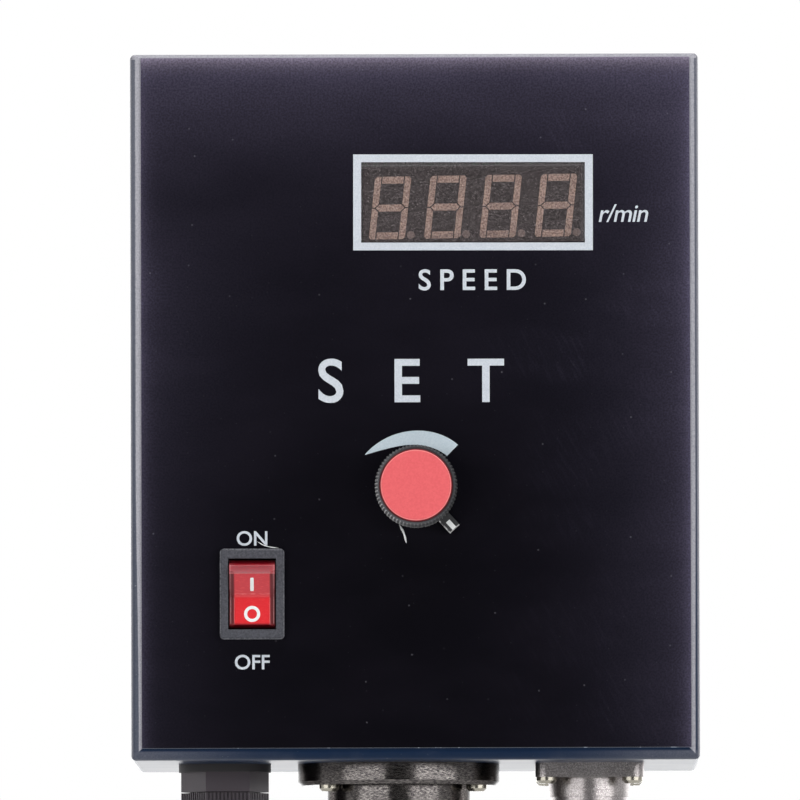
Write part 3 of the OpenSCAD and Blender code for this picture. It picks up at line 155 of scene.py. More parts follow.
class Finish:
    # a material, or the world, while its nodes are added
    def __init__(self, owner):
        owner.use_nodes = True
        self.owner = owner
        self.tree = owner.node_tree
        self.tree.nodes.clear()

    # any node: settings are set first, then values or links go to its sockets
    def add(self, kind, settings=None, sockets=None, output=0):
        made = self.tree.nodes.new("ShaderNode" + kind)
        for key, value in (settings or {}).items():
            setattr(made, key, value)
        for key, value in (sockets or {}).items():
            if isinstance(value, Link):
                self.tree.links.new(value.socket, made.inputs[key])
            else:
                made.inputs[key].default_value = value
        return Link(self, made.outputs[output]) if made.outputs else None

    def calc(self, operation, *values):
        return self.add("Math", {"operation": operation}, dict(enumerate(values)))

    def larger(self, first, second):
        return self.calc("MAXIMUM", first, second)

    def smaller(self, first, second):
        return self.calc("MINIMUM", first, second)

    def split(self, vector):
        first = self.add("SeparateXYZ", {}, {0: vector})
        return [first.output(i) for i in range(3)]

    # place on the part in millimetres, stretched by a factor along each axis
    def place(self, stretch=(1, 1, 1)):
        here = self.add("TexCoord", output="Object")
        factor = tuple(value / mm for value in stretch)
        return self.add("VectorMath", {"operation": "MULTIPLY"}, {0: here, 1: factor})

    def axes(self):
        return self.split(self.place())

    # place right and up of the middle of a solid
    def around(self, node):
        x, _, z = self.axes()
        right, up = middleOf(node)
        return x - right, z - up

    # cloudy values round 0.5; perMm is how many clouds there are to a millimetre
    def noise(self, perMm, detail=2.0, stretch=(1, 1, 1)):
        where = self.place(stretch)
        return self.add("TexNoise", {}, {"Vector": where, "Scale": perMm, "Detail": detail})

    # 0 below low, 1 above high and smooth between; low may be the larger
    def step(self, value, low, high):
        return self.add("MapRange", {"interpolation_type": "SMOOTHSTEP", "clamp": True},
                        {0: value, 1: low, 2: high, 3: 0.0, 4: 1.0})

    # a line at 0, full within core and gone beyond reach
    def line(self, value, reach, core):
        return self.step(abs(value), reach, core)

    def blend(self, factor, first, second):
        settings = {"data_type": "RGBA", "clamp_factor": True}
        return self.add("Mix", settings, {"Factor": factor, 6: first, 7: second}, output=2)

    # a point of a flat pattern, from its place right and up
    def flat(self, right, up):
        return self.add("CombineXYZ", {}, {0: right, 1: up})

    # round grains on a flat face: each fades from its middle, and only a share of the cells has one
    def specks(self, where, perMm, radius, share):
        cell = self.add("TexVoronoi", {"voronoi_dimensions": "2D"}, {"Vector": where, "Scale": perMm})
        chance = self.add("SeparateColor", {}, {0: cell.output("Color")})
        return self.step(chance, 1 - share, 1) * self.step(cell, radius * perMm, 0.2 * radius * perMm)

    def bump(self, height, depthMm, strength=1.0):
        return self.add("Bump", {}, {"Strength": strength, "Distance": depthMm * mm, "Height": height})

    # for each kind, 1 where a ray is of that kind
    def rays(self, *kinds):
        path = self.add("LightPath")
        return [path.output(f"Is {kind} Ray") for kind in kinds]

    # the shader; what changes over the surface is a link, the rest are plain values
    def surface(self, base, roughness, bump=None, **others):
        values = {"Base Color": base, "Roughness": roughness}
        if bump is not None:
            values["Normal"] = bump
        values.update({key.replace("_", " "): value for key, value in others.items()})
        self.add("OutputMaterial", {}, {0: self.add("BsdfPrincipled", {}, values)})
        return self.owner


def newFinish(name):
    return Finish(bpy.data.materials.new(name))


# Finishes; lengths are in millimetres

# semi-gloss coat: orange peel two millimetres across and small chips along the front's bends. Painted
# highlights on the bends: the side bends have a bright band, a dull one outside it that darkens towards the
# bottom, and a pale outermost line; the top is pale all along, and the bottom greys towards its ends. Painted
# shade deepens the bottom bend
def casePaint():
    make = newFinish("casePaint")
    peel = make.noise(0.5, 1)
    cloud = make.noise(0.05, 4)
    grain = make.noise(2.4, 4)
    x, y, z = make.axes()
    fromFront = y - frontY / mm
    fromSide = caseHigh.x / mm - abs(x)
    fromTop = caseHigh.z / mm - z
    fromBottom = z - caseLow.z / mm
    rightSide = make.step(x, -1.0, 1.0)

    # painted highlights on the side bends: a bright band, a dull one outside it and a pale outermost line
    bandStart = 1.15 - 0.3 * rightSide + make.step(fromBottom, 70, 10) * (0.6 - 0.4 * rightSide)
    sheenBand = make.step(fromSide - bandStart, -0.16, 0.16)
    dull = 0.17 - 0.11 * rightSide + (0.17 + 0.13 * rightSide) * make.step(fromBottom, 20, 150)
    outermost = make.step(fromSide, 0.62, 0.44) * (0.4 + 0.25 * rightSide)
    onSideBend = make.step(fromFront, 2.3, 1.9) * make.step(fromBottom - fromSide, 0.0, 0.5)
    sideHighlight = make.larger(make.larger(sheenBand, outermost), dull) * onSideBend * (1.1 - 0.15 * rightSide)

    # painted shade deepens the bottom bend; painted highlights grey it towards its ends
    onLowBend = make.step(fromFront, 2.4, 1.8) * make.step(fromBottom, 2.4, 1.8)
    ends = make.step(abs(x), 15, 68)
    lowHighlight = onLowBend * (0.25 * ends * ends + 0.07 * make.step(cloud, 0.5, 0.7))
    # painted highlight all along the top bend
    topHighlight = 1.1 * make.step(fromTop, 1.3, 1.0) * make.step(fromFront, 1.3, 0.7)
    paintedHighlight = make.larger(make.larger(sideHighlight, lowHighlight), topHighlight) * (0.45 + 0.75 * grain)

    fromEdge = make.smaller(fromSide, caseHigh.z / mm - abs(z))
    chips = make.step(make.noise(1.6, 6), 0.71, 0.75) * make.step(fromEdge, 2.6, 0.4)
    chips = chips * make.step(fromFront, 6, 3)

    coat = make.blend(cloud, tone(12, 31, 55), tone(20, 41, 69))
    # painted shade on the bottom bend, then the painted highlights on all the bends
    shadedLowBend = make.blend(onLowBend, coat, tone(4, 31, 60))
    paleEdging = make.blend(paintedHighlight, shadedLowBend, tone(176, 175, 183))
    base = make.blend(chips, paleEdging, tone(150, 152, 160))
    roughness = 0.29 + 0.05 * cloud + 0.2 * chips
    return make.surface(base, roughness, make.bump(peel, 0.03, 0.25), Specular_IOR_Level=0.13)


# matte black film: fine tooth, wiped smears and streaks, dust, a painted sheen of light that gathers towards the
# top and the sides, and a pale hairline along its lower edge
def overlayFilm():
    make = newFinish("overlayFilm")
    tooth = make.noise(5.0, 2)
    sparkle = make.noise(2.3, 2)
    smear = make.noise(0.035, 5, (1, 1, 2.2))
    x, _, z = make.axes()
    wipe = math.radians(62)    # direction of the streaks, downwards from the right
    alongWipe = x * math.cos(wipe) - z * math.sin(wipe)
    acrossWipe = x * math.sin(wipe) + z * math.cos(wipe)
    streak = make.add("TexNoise", {"noise_dimensions": "2D"},
                      {"Vector": make.flat(alongWipe * 0.12, acrossWipe), "Scale": 1.3, "Detail": 3.0})
    wiped = make.step(streak, 0.48, 0.72) * make.step(smear, 0.42, 0.62) * make.step(x, 5, 50)

    # painted sheen that falls off with the distance from a border, first fast and then slowly
    def sheenFrom(distance, near, wide):
        fastFall, slowFall = 1.3, 13.0
        fast = make.calc("EXPONENT", distance * (-1 / fastFall))
        slow = make.calc("EXPONENT", distance * (-1 / slowFall))
        return near * fast + wide * slow

    # painted sheen from the light at the top and the sides
    fromTop = filmHigh.z / mm - z
    upper = make.step(z, -45, 20)
    leftWide = 0.026 * (0.5 + 0.5 * upper) * (1 - 0.6 * make.step(z, 28, 48))
    rightWide = 0.043 * (0.62 + 0.24 * make.step(z, -75, -50) + 0.14 * upper)
    left = sheenFrom(x - filmLow.x / mm, 0.04, leftWide)
    right = sheenFrom(filmHigh.x / mm - x, 0.058, rightWide)
    sides = (left + right) * (1 - 0.55 * make.step(z, 62, 78))
    # painted sheen over the upper part, plus the wiped smears
    upperSheenAndSmears = (0.0038 + 0.006 * wiped) * make.step(z, -25, 20) + 0.003 * wiped
    uneven = (0.7 + 0.6 * smear) * (0.72 + 0.56 * make.step(sparkle, 0.3, 0.7))
    sheenAndSmears = (sheenFrom(fromTop, 0.185, 0.066) + sides + upperSheenAndSmears) * uneven
    # the painted sheen is bluish, most of all at the top
    sheenTone = make.blend(make.step(fromTop, 5, 0), (0.7, 0.62, 1.0, 1.0), (0.8, 0.69, 0.95, 1.0))

    nicks = make.step(make.noise(0.45, 5), 0.6, 0.66)
    hairline = make.step(z - filmLow.z / mm, 0.16, 0.08) * (0.22 + 0.6 * nicks)
    here = make.flat(x, z)
    dust = make.specks(here, 0.1, 0.3, 0.45) * 0.13 + make.specks(here, 0.27, 0.2, 0.35) * 0.035
    black = make.blend(make.step(smear, 0.35, 0.75), tone(3, 2, 8), tone(7, 5, 13))
    sheened = make.blend(sheenAndSmears, black, sheenTone)
    dusty = make.blend(dust, sheened, tone(190, 188, 200))
    base = make.blend(hairline, dusty, tone(175, 182, 195))
    return make.surface(base, 0.32 + 0.08 * smear, make.bump(tooth, 0.02, 0.35), Specular_IOR_Level=0.07)


# smoked filter: an anti-glare grain of bright and dark points, paler towards the top and the right,
# and a pale line under its upper edge
def smokedWindow():
    make = newFinish("smokedWindow")
    openWide, openHigh = 25.7, 9.25    # half of what the film leaves open
    lineUp = halfOf("display_window")[1] - 1.5
    grain = make.noise(2.2, 2)
    sparkle = make.noise(3.4, 1)
    right, up = make.around("display_window")
    topPale = make.step(openHigh - up, 2.4, 0.8) * 0.2
    rightPale = make.step(openWide - right, 1.6, 0.5) * 0.3
    smoke = make.blend(make.step(grain, 0.36, 0.64), tone(44, 37, 40), tone(108, 97, 100))
    paled = make.blend(make.larger(topPale, rightPale), smoke, tone(150, 145, 150))
    bright = make.blend(make.step(sparkle, 0.56, 0.72) * 0.7, paled, tone(188, 178, 178))
    base = make.blend(make.line(up - lineUp, 0.22, 0.06) * 0.3, bright, tone(190, 190, 192))
    return make.surface(base, 0.4 + 0.1 * sparkle, make.bump(sparkle, 0.02, 0.4),
                        Alpha=0.14 + 0.36 * grain, Specular_IOR_Level=0.3)


# unlit bars of grainy diffuser; the points at their lower right are greyer
def segmentDiffuser():
    make = newFinish("segmentDiffuser")
    low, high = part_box("display_segments")
    pitch, pointRadius = 12.7, 0.9
    askew = math.tan(math.radians(0.8))    # of the row of digits
    x, _, z = make.axes()
    digit = (x - (high.x / mm - pointRadius)) / pitch + 0.5    # a point lies at each half
    sideways = abs(make.calc("FRACT", digit) - 0.5) * pitch
    upright = abs(z - (x - low.x / mm) * askew - (low.z / mm + pointRadius))
    point = make.step(make.larger(sideways, upright), 1.3, 1.1)
    grain = make.noise(2.6, 2)
    bars = make.blend(make.step(grain, 0.38, 0.62), tone(180, 146, 134), tone(252, 216, 198))
    base = make.blend(point * 0.8, bars, tone(140, 124, 120))
    return make.surface(base, 0.5 + 0.1 * grain, make.bump(grain, 0.02, 0.4))


# moulded or cast pieces: a cloudy tint and a grain of a given size
def moulded(name, colour, roughness, grainPerMm=3.0, grainDepth=0.015, tint=0.12, **others):
    make = newFinish(name)
    grain = make.noise(grainPerMm, 3)
    cloud = make.noise(0.12, 3)
    base = make.blend(cloud, shade(colour, 1 - tint), shade(colour, 1 + 2 * tint, 0.004))
    return make.surface(base, roughness - 0.06 + 0.12 * grain, make.bump(grain, grainDepth, 0.4), **others)


# turned, drawn or plated metal: fine lines along one direction over a cloudy lustre
def metal(name, colour, roughness, stretch=(1, 1, 1), linePerMm=4.0, depth=0.006, tint=0.15):
    make = newFinish(name)
    lines = make.noise(linePerMm, 3, stretch)
    cloud = make.noise(0.2, 4)
    base = make.blend(make.step(cloud, 0.3, 0.7), shade(colour, 1 - tint), shade(colour, 1 + tint))
    return make.surface(base, roughness - 0.08 + 0.16 * cloud, make.bump(lines, depth, 0.4), Metallic=1.0)


# plating over a cast or turned shell, with fine pits or lines that are a little brighter
def plating(name, dark, pale, roughness, pitDepth=0.04, stretch=(1, 1, 1), **others):
    make = newFinish(name)
    pits = make.noise(3.2, 5, stretch)
    cloud = make.noise(0.3, 3)
    base = make.blend(make.step(pits, 0.35, 0.7), dark, pale)
    return make.surface(base, roughness + 0.14 * cloud, make.bump(pits, pitDepth, 0.6), Metallic=0.97,
                        **others)


# board with solder resist over copper tracks, which run in straight lines
def circuitBoard():
    make = newFinish("circuitBoard")
    trackPitch = 1.27
    x, _, _ = make.axes()
    gate = make.step(make.noise(0.09, 2, (1, 1, 0.3)), 0.47, 0.5)
    track = make.step(make.calc("PINGPONG", x, trackPitch), 0.5, 0.6) * gate
    base = make.blend(track, tone(22, 78, 48), tone(42, 116, 70))
    return make.surface(base, 0.35 + 0.1 * gate, make.bump(track, 0.03, 0.6))


# enamelled wire wound in rows, with painted shade between the turns and a paler painted highlight along each turn
def windingWire():
    make = newFinish("windingWire")
    wireRadius = 0.35
    _, y, _ = make.axes()
    row = make.calc("PINGPONG", y, wireRadius) / wireRadius
    # painted shade where the turns meet, painted highlight along their middles
    base = make.blend(row, tone(96, 44, 18), tone(190, 104, 52))
    return make.surface(base, 0.36 + 0.1 * row, make.bump(row, 0.25, 0.8), Metallic=0.7)


# translucent red moulding with painted light: painted shade on the side bevels with a painted highlight line along
# each, deep red ends and a deeper upper half as painted shade, a dull band of painted sheen across the upper end,
# and a painted highlight along the fold
def rockerRed():
    make = newFinish("rockerRed")
    halfFace = 5.3                    # without the pins
    bandLow, bandHigh = 4.55, 6.65    # up from the pivot
    x, _, z = make.axes()
    fromMiddle = abs(x - middleOf("switch_rocker")[0])
    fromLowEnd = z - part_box("switch_rocker")[0].z / mm
    up = z - rockerPivot.z / mm
    streak = make.noise(0.9, 4, (1, 1, 5))
    grain = make.noise(2.0, 2)
    lower = make.step(up, 0.6, -1.4)
    # painted shade on the side bevels
    side = make.step(fromMiddle, 3.9, 4.3)
    # painted highlight line along each side, stronger on the lower half
    paleEdging = make.line(fromMiddle - (halfFace - 0.36), 0.2, 0.08) * (0.25 + 0.45 * lower) * (0.4 + grain)
    # painted sheen band across the upper end, with paler painted highlight lines at its edges
    sheenBand = make.step(up, bandLow - 0.1, bandLow + 0.1) * make.step(up, bandHigh + 0.1, bandHigh - 0.1)
    bandHighlight = make.line(up - (bandLow + 0.15), 0.2, 0.08) + make.line(up - (bandHigh - 0.15), 0.2, 0.08)
    # painted highlight along the fold
    foldHighlight = make.line(up, 0.2, 0.06) * make.step(streak, 0.4, 0.6)
    # painted shade on both ends
    ends = make.larger(make.step(up, bandHigh - 0.05, bandHigh + 0.15), make.step(fromLowEnd, 1.35, 0.7))
    # painted shade: the upper half is a deeper red than the lower
    face = make.blend(lower, tone(198, 28, 44), tone(226, 34, 44))
    mottled = make.blend(make.step(streak, 0.5, 0.8) * 0.35, face, tone(246, 82, 78))
    folded = make.blend(foldHighlight * 0.3, mottled, tone(240, 150, 145))
    banded = make.blend(sheenBand * (0.35 + 0.8 * grain), folded, tone(142, 66, 74))
    lined = make.blend(bandHighlight * 0.4 * (0.3 + grain), banded, tone(214, 132, 134))
    bevelled = make.blend(side * (1 - sheenBand) * 0.9, lined, tone(70, 6, 16))
    edged = make.blend(paleEdging, bevelled, tone(226, 160, 162))
    base = make.blend(ends, edged, tone(124, 8, 24))
    return make.surface(base, 0.24 + 0.14 * streak + 0.3 * side, make.bump(streak, 0.02, 0.3),
                        Coat_Weight=0.25 * (1 - side), Coat_Roughness=0.12,
                        Subsurface_Weight=0.15, Subsurface_Radius=(0.002, 0.0004, 0.0004))


# grainy black plastic, paler grey along the bezel's outer edge
def bezelBlack():
    make = newFinish("bezelBlack")
    halfWide, halfHigh = halfOf("switch_frame")
    right, up = make.around("switch_frame")
    fromEdge = make.smaller(halfWide - abs(right), halfHigh - abs(up))
    grain = make.noise(2.2, 3)
    paleEdging = make.step(fromEdge, 0.45, 0.2) * make.step(grain, 0.3, 0.7) * 0.5
    face = make.blend(make.step(grain, 0.3, 0.72), tone(47, 48, 56), tone(74, 75, 83))
    base = make.blend(paleEdging, face, tone(132, 132, 138))
    return make.surface(base, 0.5 + 0.12 * grain, make.bump(grain, 0.03, 0.4))


# red cap with a painted highlight on its rim and a painted shade border where it drops to the skirt
def capRed():
    make = newFinish("capRed")
    edge = halfOf("knob_cap")[0]
    right, up = make.around("knob_cap")
    radius = make.calc("SQRT", right * right + up * up)
    grain = make.noise(2.2, 3)
    # painted highlight on the rim
    rimHighlight = make.step(radius, edge - 0.55, edge - 0.38) * (0.25 + 0.4 * grain)
    # painted shade where the cap drops to the skirt
    borderShade = make.step(radius, edge - 0.3, edge - 0.2)
    face = make.blend(make.step(grain, 0.3, 0.7), tone(229, 95, 100), tone(235, 103, 107))
    paleEdging = make.blend(rimHighlight, face, tone(252, 170, 168))
    base = make.blend(borderShade, paleEdging, tone(104, 8, 18))
    return make.surface(base, 0.5 + 0.1 * grain, make.bump(grain, 0.02, 0.3), Specular_IOR_Level=0.3)


# black plastic greyed by painted light, most towards the lower left, with pale painted glints on the crests
# between the flutes
def knobBlack():
    make = newFinish("knobBlack")
    flutes = 68
    flank = halfOf("knob_cap")[0] + 0.45    # radius where the flutes begin
    right, up = make.around("knob_cap")
    radius = make.calc("SQRT", right * right + up * up)
    angle = make.calc("ARCTAN2", up, right)
    crest = make.step(make.calc("COSINE", angle * flutes), -0.1, -0.8)
    lowerLeft = (right * -0.87 - up * 0.5) / radius
    # painted light: greyer towards the lower left, darkest towards the upper right
    litLowerLeft = make.step(lowerLeft, -0.6, 0.8)
    brightLowerLeft = make.step(lowerLeft, 0.6, 0.92)
    grain = make.noise(2.0, 3)
    # painted glints on the crests, brightest at the lower left
    glint = crest * make.step(radius, flank, flank + 0.15) * (0.09 + 0.14 * litLowerLeft + 0.55 * brightLowerLeft)
    litGrey = make.blend(litLowerLeft * (0.35 + 0.4 * grain), tone(35, 35, 39), tone(96, 96, 100))
    base = make.blend(glint, litGrey, tone(224, 224, 224))
    return make.surface(base, 0.46 + 0.1 * grain, make.bump(grain, 0.02, 0.3))


pointerLug = {"clockwise": 137.5, "width": 3.0, "reach": 13.1}    # clockwise from the top, in degrees


# black plastic with a painted highlight along the lug's lower edge and its end
def pointerBlack(lug):
    make = newFinish("pointerBlack")
    right, up = make.around("knob_cap")
    turn = math.radians(lug["clockwise"])
    along = right * math.sin(turn) + up * math.cos(turn)
    across = right * math.cos(turn) - up * math.sin(turn)
    grain = make.noise(1.2, 3)
    lower = make.step(across, lug["width"] / 2 - 0.34, lug["width"] / 2 - 0.14)
    tip = make.step(along, lug["reach"] - 0.3, lug["reach"] - 0.12)
    # painted highlight on the lug's lower edge and its end
    paintedHighlight = make.larger(lower, tip) * make.step(grain, 0.3, 0.6)
    base = make.blend(paintedHighlight * 0.8, tone(34, 34, 37), tone(212, 212, 212))
    return make.surface(base, 0.42 + 0.12 * grain, make.bump(grain, 0.02, 0.3))


# screen-printed ink, thinner in places
def printedInk(name, thinTone, fullTone):
    make = newFinish(name)
    thin = make.noise(3.5, 4)
    base = make.blend(make.step(thin, 0.2, 0.8), thinTone, fullTone)
    return make.surface(base, 0.5 + 0.1 * thin, make.bump(thin, 0.01, 0.3), Specular_IOR_Level=0.3)


finishes = {
    "case_paint": casePaint(),
    "overlay_film": overlayFilm(),
    "smoked_window": smokedWindow(),
    "display_black": moulded("displayBlack", tone(52, 46, 44), 0.6),
    "segment_diffuser": segmentDiffuser(),
    "circuit_board": circuitBoard(),
    "knob_black": moulded("knobInner", tone(34, 34, 37), 0.42, 4.0, 0.02),
    "knob_red": capRed(),
    "mark_white": moulded("markWhite", tone(238, 240, 240), 0.5, 4.0, 0.01, 0.03),
    "switch_black": moulded("switchBlack", tone(48, 48, 53), 0.52, 4.0, 0.03),
    "rocker_red": rockerRed(),
    "gland_nylon": moulded("glandNylon", tone(63, 56, 62), 0.45, 2.5, 0.03, Specular_IOR_Level=0.35),
    "seal_rubber": moulded("sealRubber", tone(40, 38, 40), 0.7, 3.0, 0.03),
    "socket_metal": plating("socketMetal", tone(124, 118, 119), tone(168, 164, 162), 0.22),
    "insulator": moulded("insulator", tone(38, 38, 40), 0.5),
    "brass": metal("brass", tone(206, 172, 100), 0.32),
    "zinc_steel": metal("zincSteel", tone(184, 182, 174), 0.36, linePerMm=3.0),
    "sink_aluminium": metal("sinkAluminium", tone(190, 192, 196), 0.38, (6, 1, 6)),
    "phenolic": moulded("phenolic", tone(118, 78, 46), 0.6),
    "laminations": metal("laminations", tone(110, 110, 116), 0.45, (0.2, 1, 6), 2.0, 0.05),
    "winding": windingWire(),
    "capacitor_sleeve": moulded("capacitorSleeve", tone(36, 42, 68), 0.35),
    "block_green": moulded("blockGreen", tone(54, 128, 78), 0.45),
    "relay_blue": moulded("relayBlue", tone(40, 74, 142), 0.4),
    "fuse_glass": moulded("fuseGlass", tone(214, 220, 224), 0.12),
}
socketScrewZinc = metal("socketScrewZinc", tone(142, 138, 128), 0.22, linePerMm=3.0)

# solids that differ from the rest of their slot
ownFinishes = {
    "motor_screws": socketScrewZinc,
    "sensor_screws": socketScrewZinc,
    "rear_screws": metal("rearScrewZinc", tone(122, 120, 115), 0.48, linePerMm=3.0),
    "motor_socket": plating("motorMetal", tone(44, 41, 43), tone(112, 108, 105), 0.13, 0.012,
                            (0.4, 0.4, 2.5), Specular_Tint=(0.4, 0.4, 0.4, 1.0)),
    "switch_frame": bezelBlack(),
    "knob_body": knobBlack(),
    "knob_pointer": pointerBlack(pointerLug),
}

for row in frame["record"]["subparts"]:
    slots = nodes[row["node"]].data.materials
    slots.clear()
    slots.append(ownFinishes.get(row["node"], finishes[row["material_slot"]]))
ink = printedInk("printedInk", tone(192, 199, 208), tone(212, 217, 224))
wedgeInk = printedInk("wedgeInk", tone(185, 200, 210), tone(201, 213, 220))
print("finishes:", len(finishes) + len(ownFinishes), "on", len(nodes), "solids")


# Meshes

# quads of a grid of rows by columns; a wrapped direction joins its last line to its first
def gridFaces(rows, columns, wrapRows=False, wrapColumns=False):
    r = np.arange(rows if wrapRows else rows - 1)[:, None]
    c = np.arange(columns if wrapColumns else columns - 1)[None, :]
    r2, c2 = (r + 1) % rows, (c + 1) % columns
    quads = np.stack([r * columns + c, r * columns + c2, r2 * columns + c2, r2 * columns + c], -1)
    return quads.reshape(-1, 4)


# a row of four-cornered sections, closed at both ends
def rodFaces(sections):
    last = 4 * (sections - 1)
    ends = [[3, 2, 1, 0], [last, last + 1, last + 2, last + 3]]
    return gridFaces(sections, 4, wrapColumns=True).tolist() + ends


# joins doubled points, turns the faces outwards and shades them flat or smooth
def settle(mesh, smooth):
    work = bmesh.new()
    work.from_mesh(mesh)
    bmesh.ops.remove_doubles(work, verts=work.verts, dist=1e-7)
    bmesh.ops.recalc_face_normals(work, faces=work.faces)
    work.to_mesh(mesh)
    work.free()
    mesh.polygons.foreach_set("use_smooth", np.full(len(mesh.polygons), smooth))


def addPiece(name, points, faces, body, finish, smooth=False):
    mesh = bpy.data.meshes.new(name)
    mesh.from_pydata(np.reshape(points, (-1, 3)).tolist(), [], [list(face) for face in faces])
    settle(mesh, smooth)
    mesh.materials.append(finish)
    piece = bpy.data.objects.new(name, mesh)
    bpy.context.scene.collection.objects.link(piece)
    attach(piece, body)


# points given in millimetres right, up and off the film, put on the front
def onFilm(right, up, off):
    right, up, off = np.broadcast_arrays(right, up, off)
    return np.stack([right * mm, filmY - off * mm, up * mm], -1)


# Print on the film

inkLift = 0.025    # height of the ink on the film, in millimetres


# a strip of ink between two edges: sections with two corners raised and two on the film
def inkStrip(outer, inner):
    loop = np.stack([outer, inner, inner, outer], 1)
    lift = np.array([inkLift, inkLift, 0, 0])
    return onFilm(loop[..., 0], loop[..., 1], lift)


displayFrame = {
    "name": "displayBorder",
    "middle": middleOf("display_window"),
    "shift": (0.01, -0.11),
    "outer": (55.03, 22.06),
    "inner": (51.35, 18.5),
    "turnDegrees": -0.12,
}


# a flat rectangular section carried round four mitred corners
def printBorder(spec):
    corners = np.array([[-1, -1], [1, -1], [1, 1], [-1, 1]]) / 2
    turn = math.radians(spec["turnDegrees"])
    askew = np.array([[math.cos(turn), math.sin(turn)], [-math.sin(turn), math.cos(turn)]])
    middle = np.add(spec["middle"], spec["shift"])
    outer, inner = (middle + corners * spec[edge] @ askew for edge in ("outer", "inner"))
    faces = gridFaces(4, 4, True, True)
    addPiece(spec["name"], inkStrip(outer, inner), faces, "case", ink)


speedWedge = {
    "name": "speedWedge",
    "knob": middleOf("knob_cap"),
    "tipDegrees": -57.2,          # clockwise from the top
    "endDegrees": 44.5,
    "unitDegrees": 45.0,
    "outerRadius": (13.051, 0.255, 0.744, -0.21, -0.14),    # factors of the angle's powers
    "innerRadius": (9.781, -0.387, 1.006, -0.331, 0.255, -0.188),
    "steps": 72,
}


# a wedge that widens clockwise: each edge's radius is a polynomial of the angle round the knob, and both
# edges are joined step by step
def printWedge(spec):
    degrees = np.linspace(spec["tipDegrees"], spec["endDegrees"], spec["steps"])
    heading = np.stack([np.sin(np.radians(degrees)), np.cos(np.radians(degrees))], -1)
    share = degrees / spec["unitDegrees"]
    outer, inner = (np.polynomial.polynomial.polyval(share, spec[edge])[:, None] * heading + spec["knob"]
                    for edge in ("outerRadius", "innerRadius"))
    faces = rodFaces(spec["steps"])
    addPiece(spec["name"], inkStrip(outer, inner), faces, "case", wedgeInk)


lettering = [
    {"name": "unitLetters", "words": "r/min", "middle": (48.27, 44.3), "height": 4.1, "weight": 0.006,
     "lean": 0.2, "spread": 0.93},
    {"name": "displayLetters", "words": "SPEED", "middle": (13.3, 29.1), "height": 4.9, "weight": 0.014,
     "spread": 1.5},
    {"name": "titleLetters", "words": "SET", "middle": (-0.8, 5.95), "height": 10.2, "weight": 0.012,
     "spread": 2.5},
    {"name": "onLetters", "words": "ON", "middle": (-37.4, -30.2), "height": 3.4, "weight": 0.014},
    {"name": "offLetters", "words": "OFF", "middle": (-37.4, -58.6), "height": 3.4, "weight": 0.014},
]


# flat letters become a mesh, are scaled to their height, lean by a shear and lie on the film
def printLetters(spec):
    curve = bpy.data.curves.new(spec["name"], "FONT")
    curve.body = spec["words"]
    curve.offset = spec["weight"]
    curve.space_character = spec.get("spread", 1.0)
    curve.extrude = 0.5
    curve.resolution_u = 6
    holder = bpy.data.objects.new(spec["name"] + "Outline", curve)
    bpy.context.scene.collection.objects.link(holder)
    bpy.context.view_layer.update()
    mesh = bpy.data.meshes.new_from_object(holder.evaluated_get(bpy.context.evaluated_depsgraph_get()))
    bpy.data.objects.remove(holder)
    flat = np.empty(len(mesh.vertices) * 3)
    mesh.vertices.foreach_get("co", flat)
    flat = flat.reshape(-1, 3)
    low, high = flat.min(0), flat.max(0)
    scale = spec["height"] / (high[1] - low[1])
    right, up = ((flat - (low + high) / 2) * scale)[:, :2].T
    right = right + spec.get("lean", 0) * up
    off = (flat[:, 2] - low[2]) / (high[2] - low[2]) * inkLift
    points = onFilm(right + spec["middle"][0], up + spec["middle"][1], off)
    faces = [list(face.vertices) for face in mesh.polygons]
    addPiece(spec["name"], points, faces, "case", ink)


printBorder(displayFrame)
printWedge(speedWedge)
for spec in lettering:
    printLetters(spec)
print("print on the film:", 2 + len(lettering), "pieces")


# Marks on the rocker

rockerMarks = {
    "face": 3.5,              # distance of both faces from the pivot
    "tipDegrees": 25,         # of the upper face at rest
    "lift": 0.04,
    "barSize": (0.82, 3.3),
    "barPower": 8,            # a high power of the ellipse gives a bar with just rounded corners
    "barUp": 4.0,             # along the upper face, from the pivot
    "ringUp": -4.6,           # along the lower face
    "ringOuter": 1.86,
    "ringInner": 1.12,
    "ringBevel": 0.06,
    "steps": 48,
}


# points on a face of the rocker, given right, along the face and off it
def onRocker(right, along, off, turnDegrees):
    turn = math.radians(turnDegrees)
    right, along, off = np.broadcast_arrays(right, along, off)
    out = rockerMarks["face"] + off
    up = along * math.cos(turn) - out * math.sin(turn)
    forward = along * math.sin(turn) + out * math.cos(turn)
    return np.array(rockerPivot) + np.stack([right, -forward, up], -1) * mm


# a bar: its outline at the face, raised, then drawn in to the middle line
def rockerBar(spec):
    width, height = spec["barSize"]
    steps, power = spec["steps"], 2 / spec["barPower"]
    angle = np.linspace(0, 2 * math.pi, steps, endpoint=False)
    across = np.sign(np.cos(angle)) * np.abs(np.cos(angle)) ** power * width / 2
    along = np.sign(np.sin(angle)) * np.abs(np.sin(angle)) ** power * height / 2
    share = np.array([1, 1, 0.85, 0.4])[:, None]
    lift = np.array([0, 0.8, 1, 1])[:, None] * spec["lift"]
    points = onRocker(share * across, spec["barUp"] + share * along, lift, spec["tipDegrees"])
    around = np.arange(steps)
    ends = [(around + (len(share) - 1) * steps).tolist(), around[::-1].tolist()]
    faces = gridFaces(len(share), steps, wrapColumns=True).tolist() + ends
    addPiece("rockerBar", points, faces, "rocker", finishes["mark_white"])


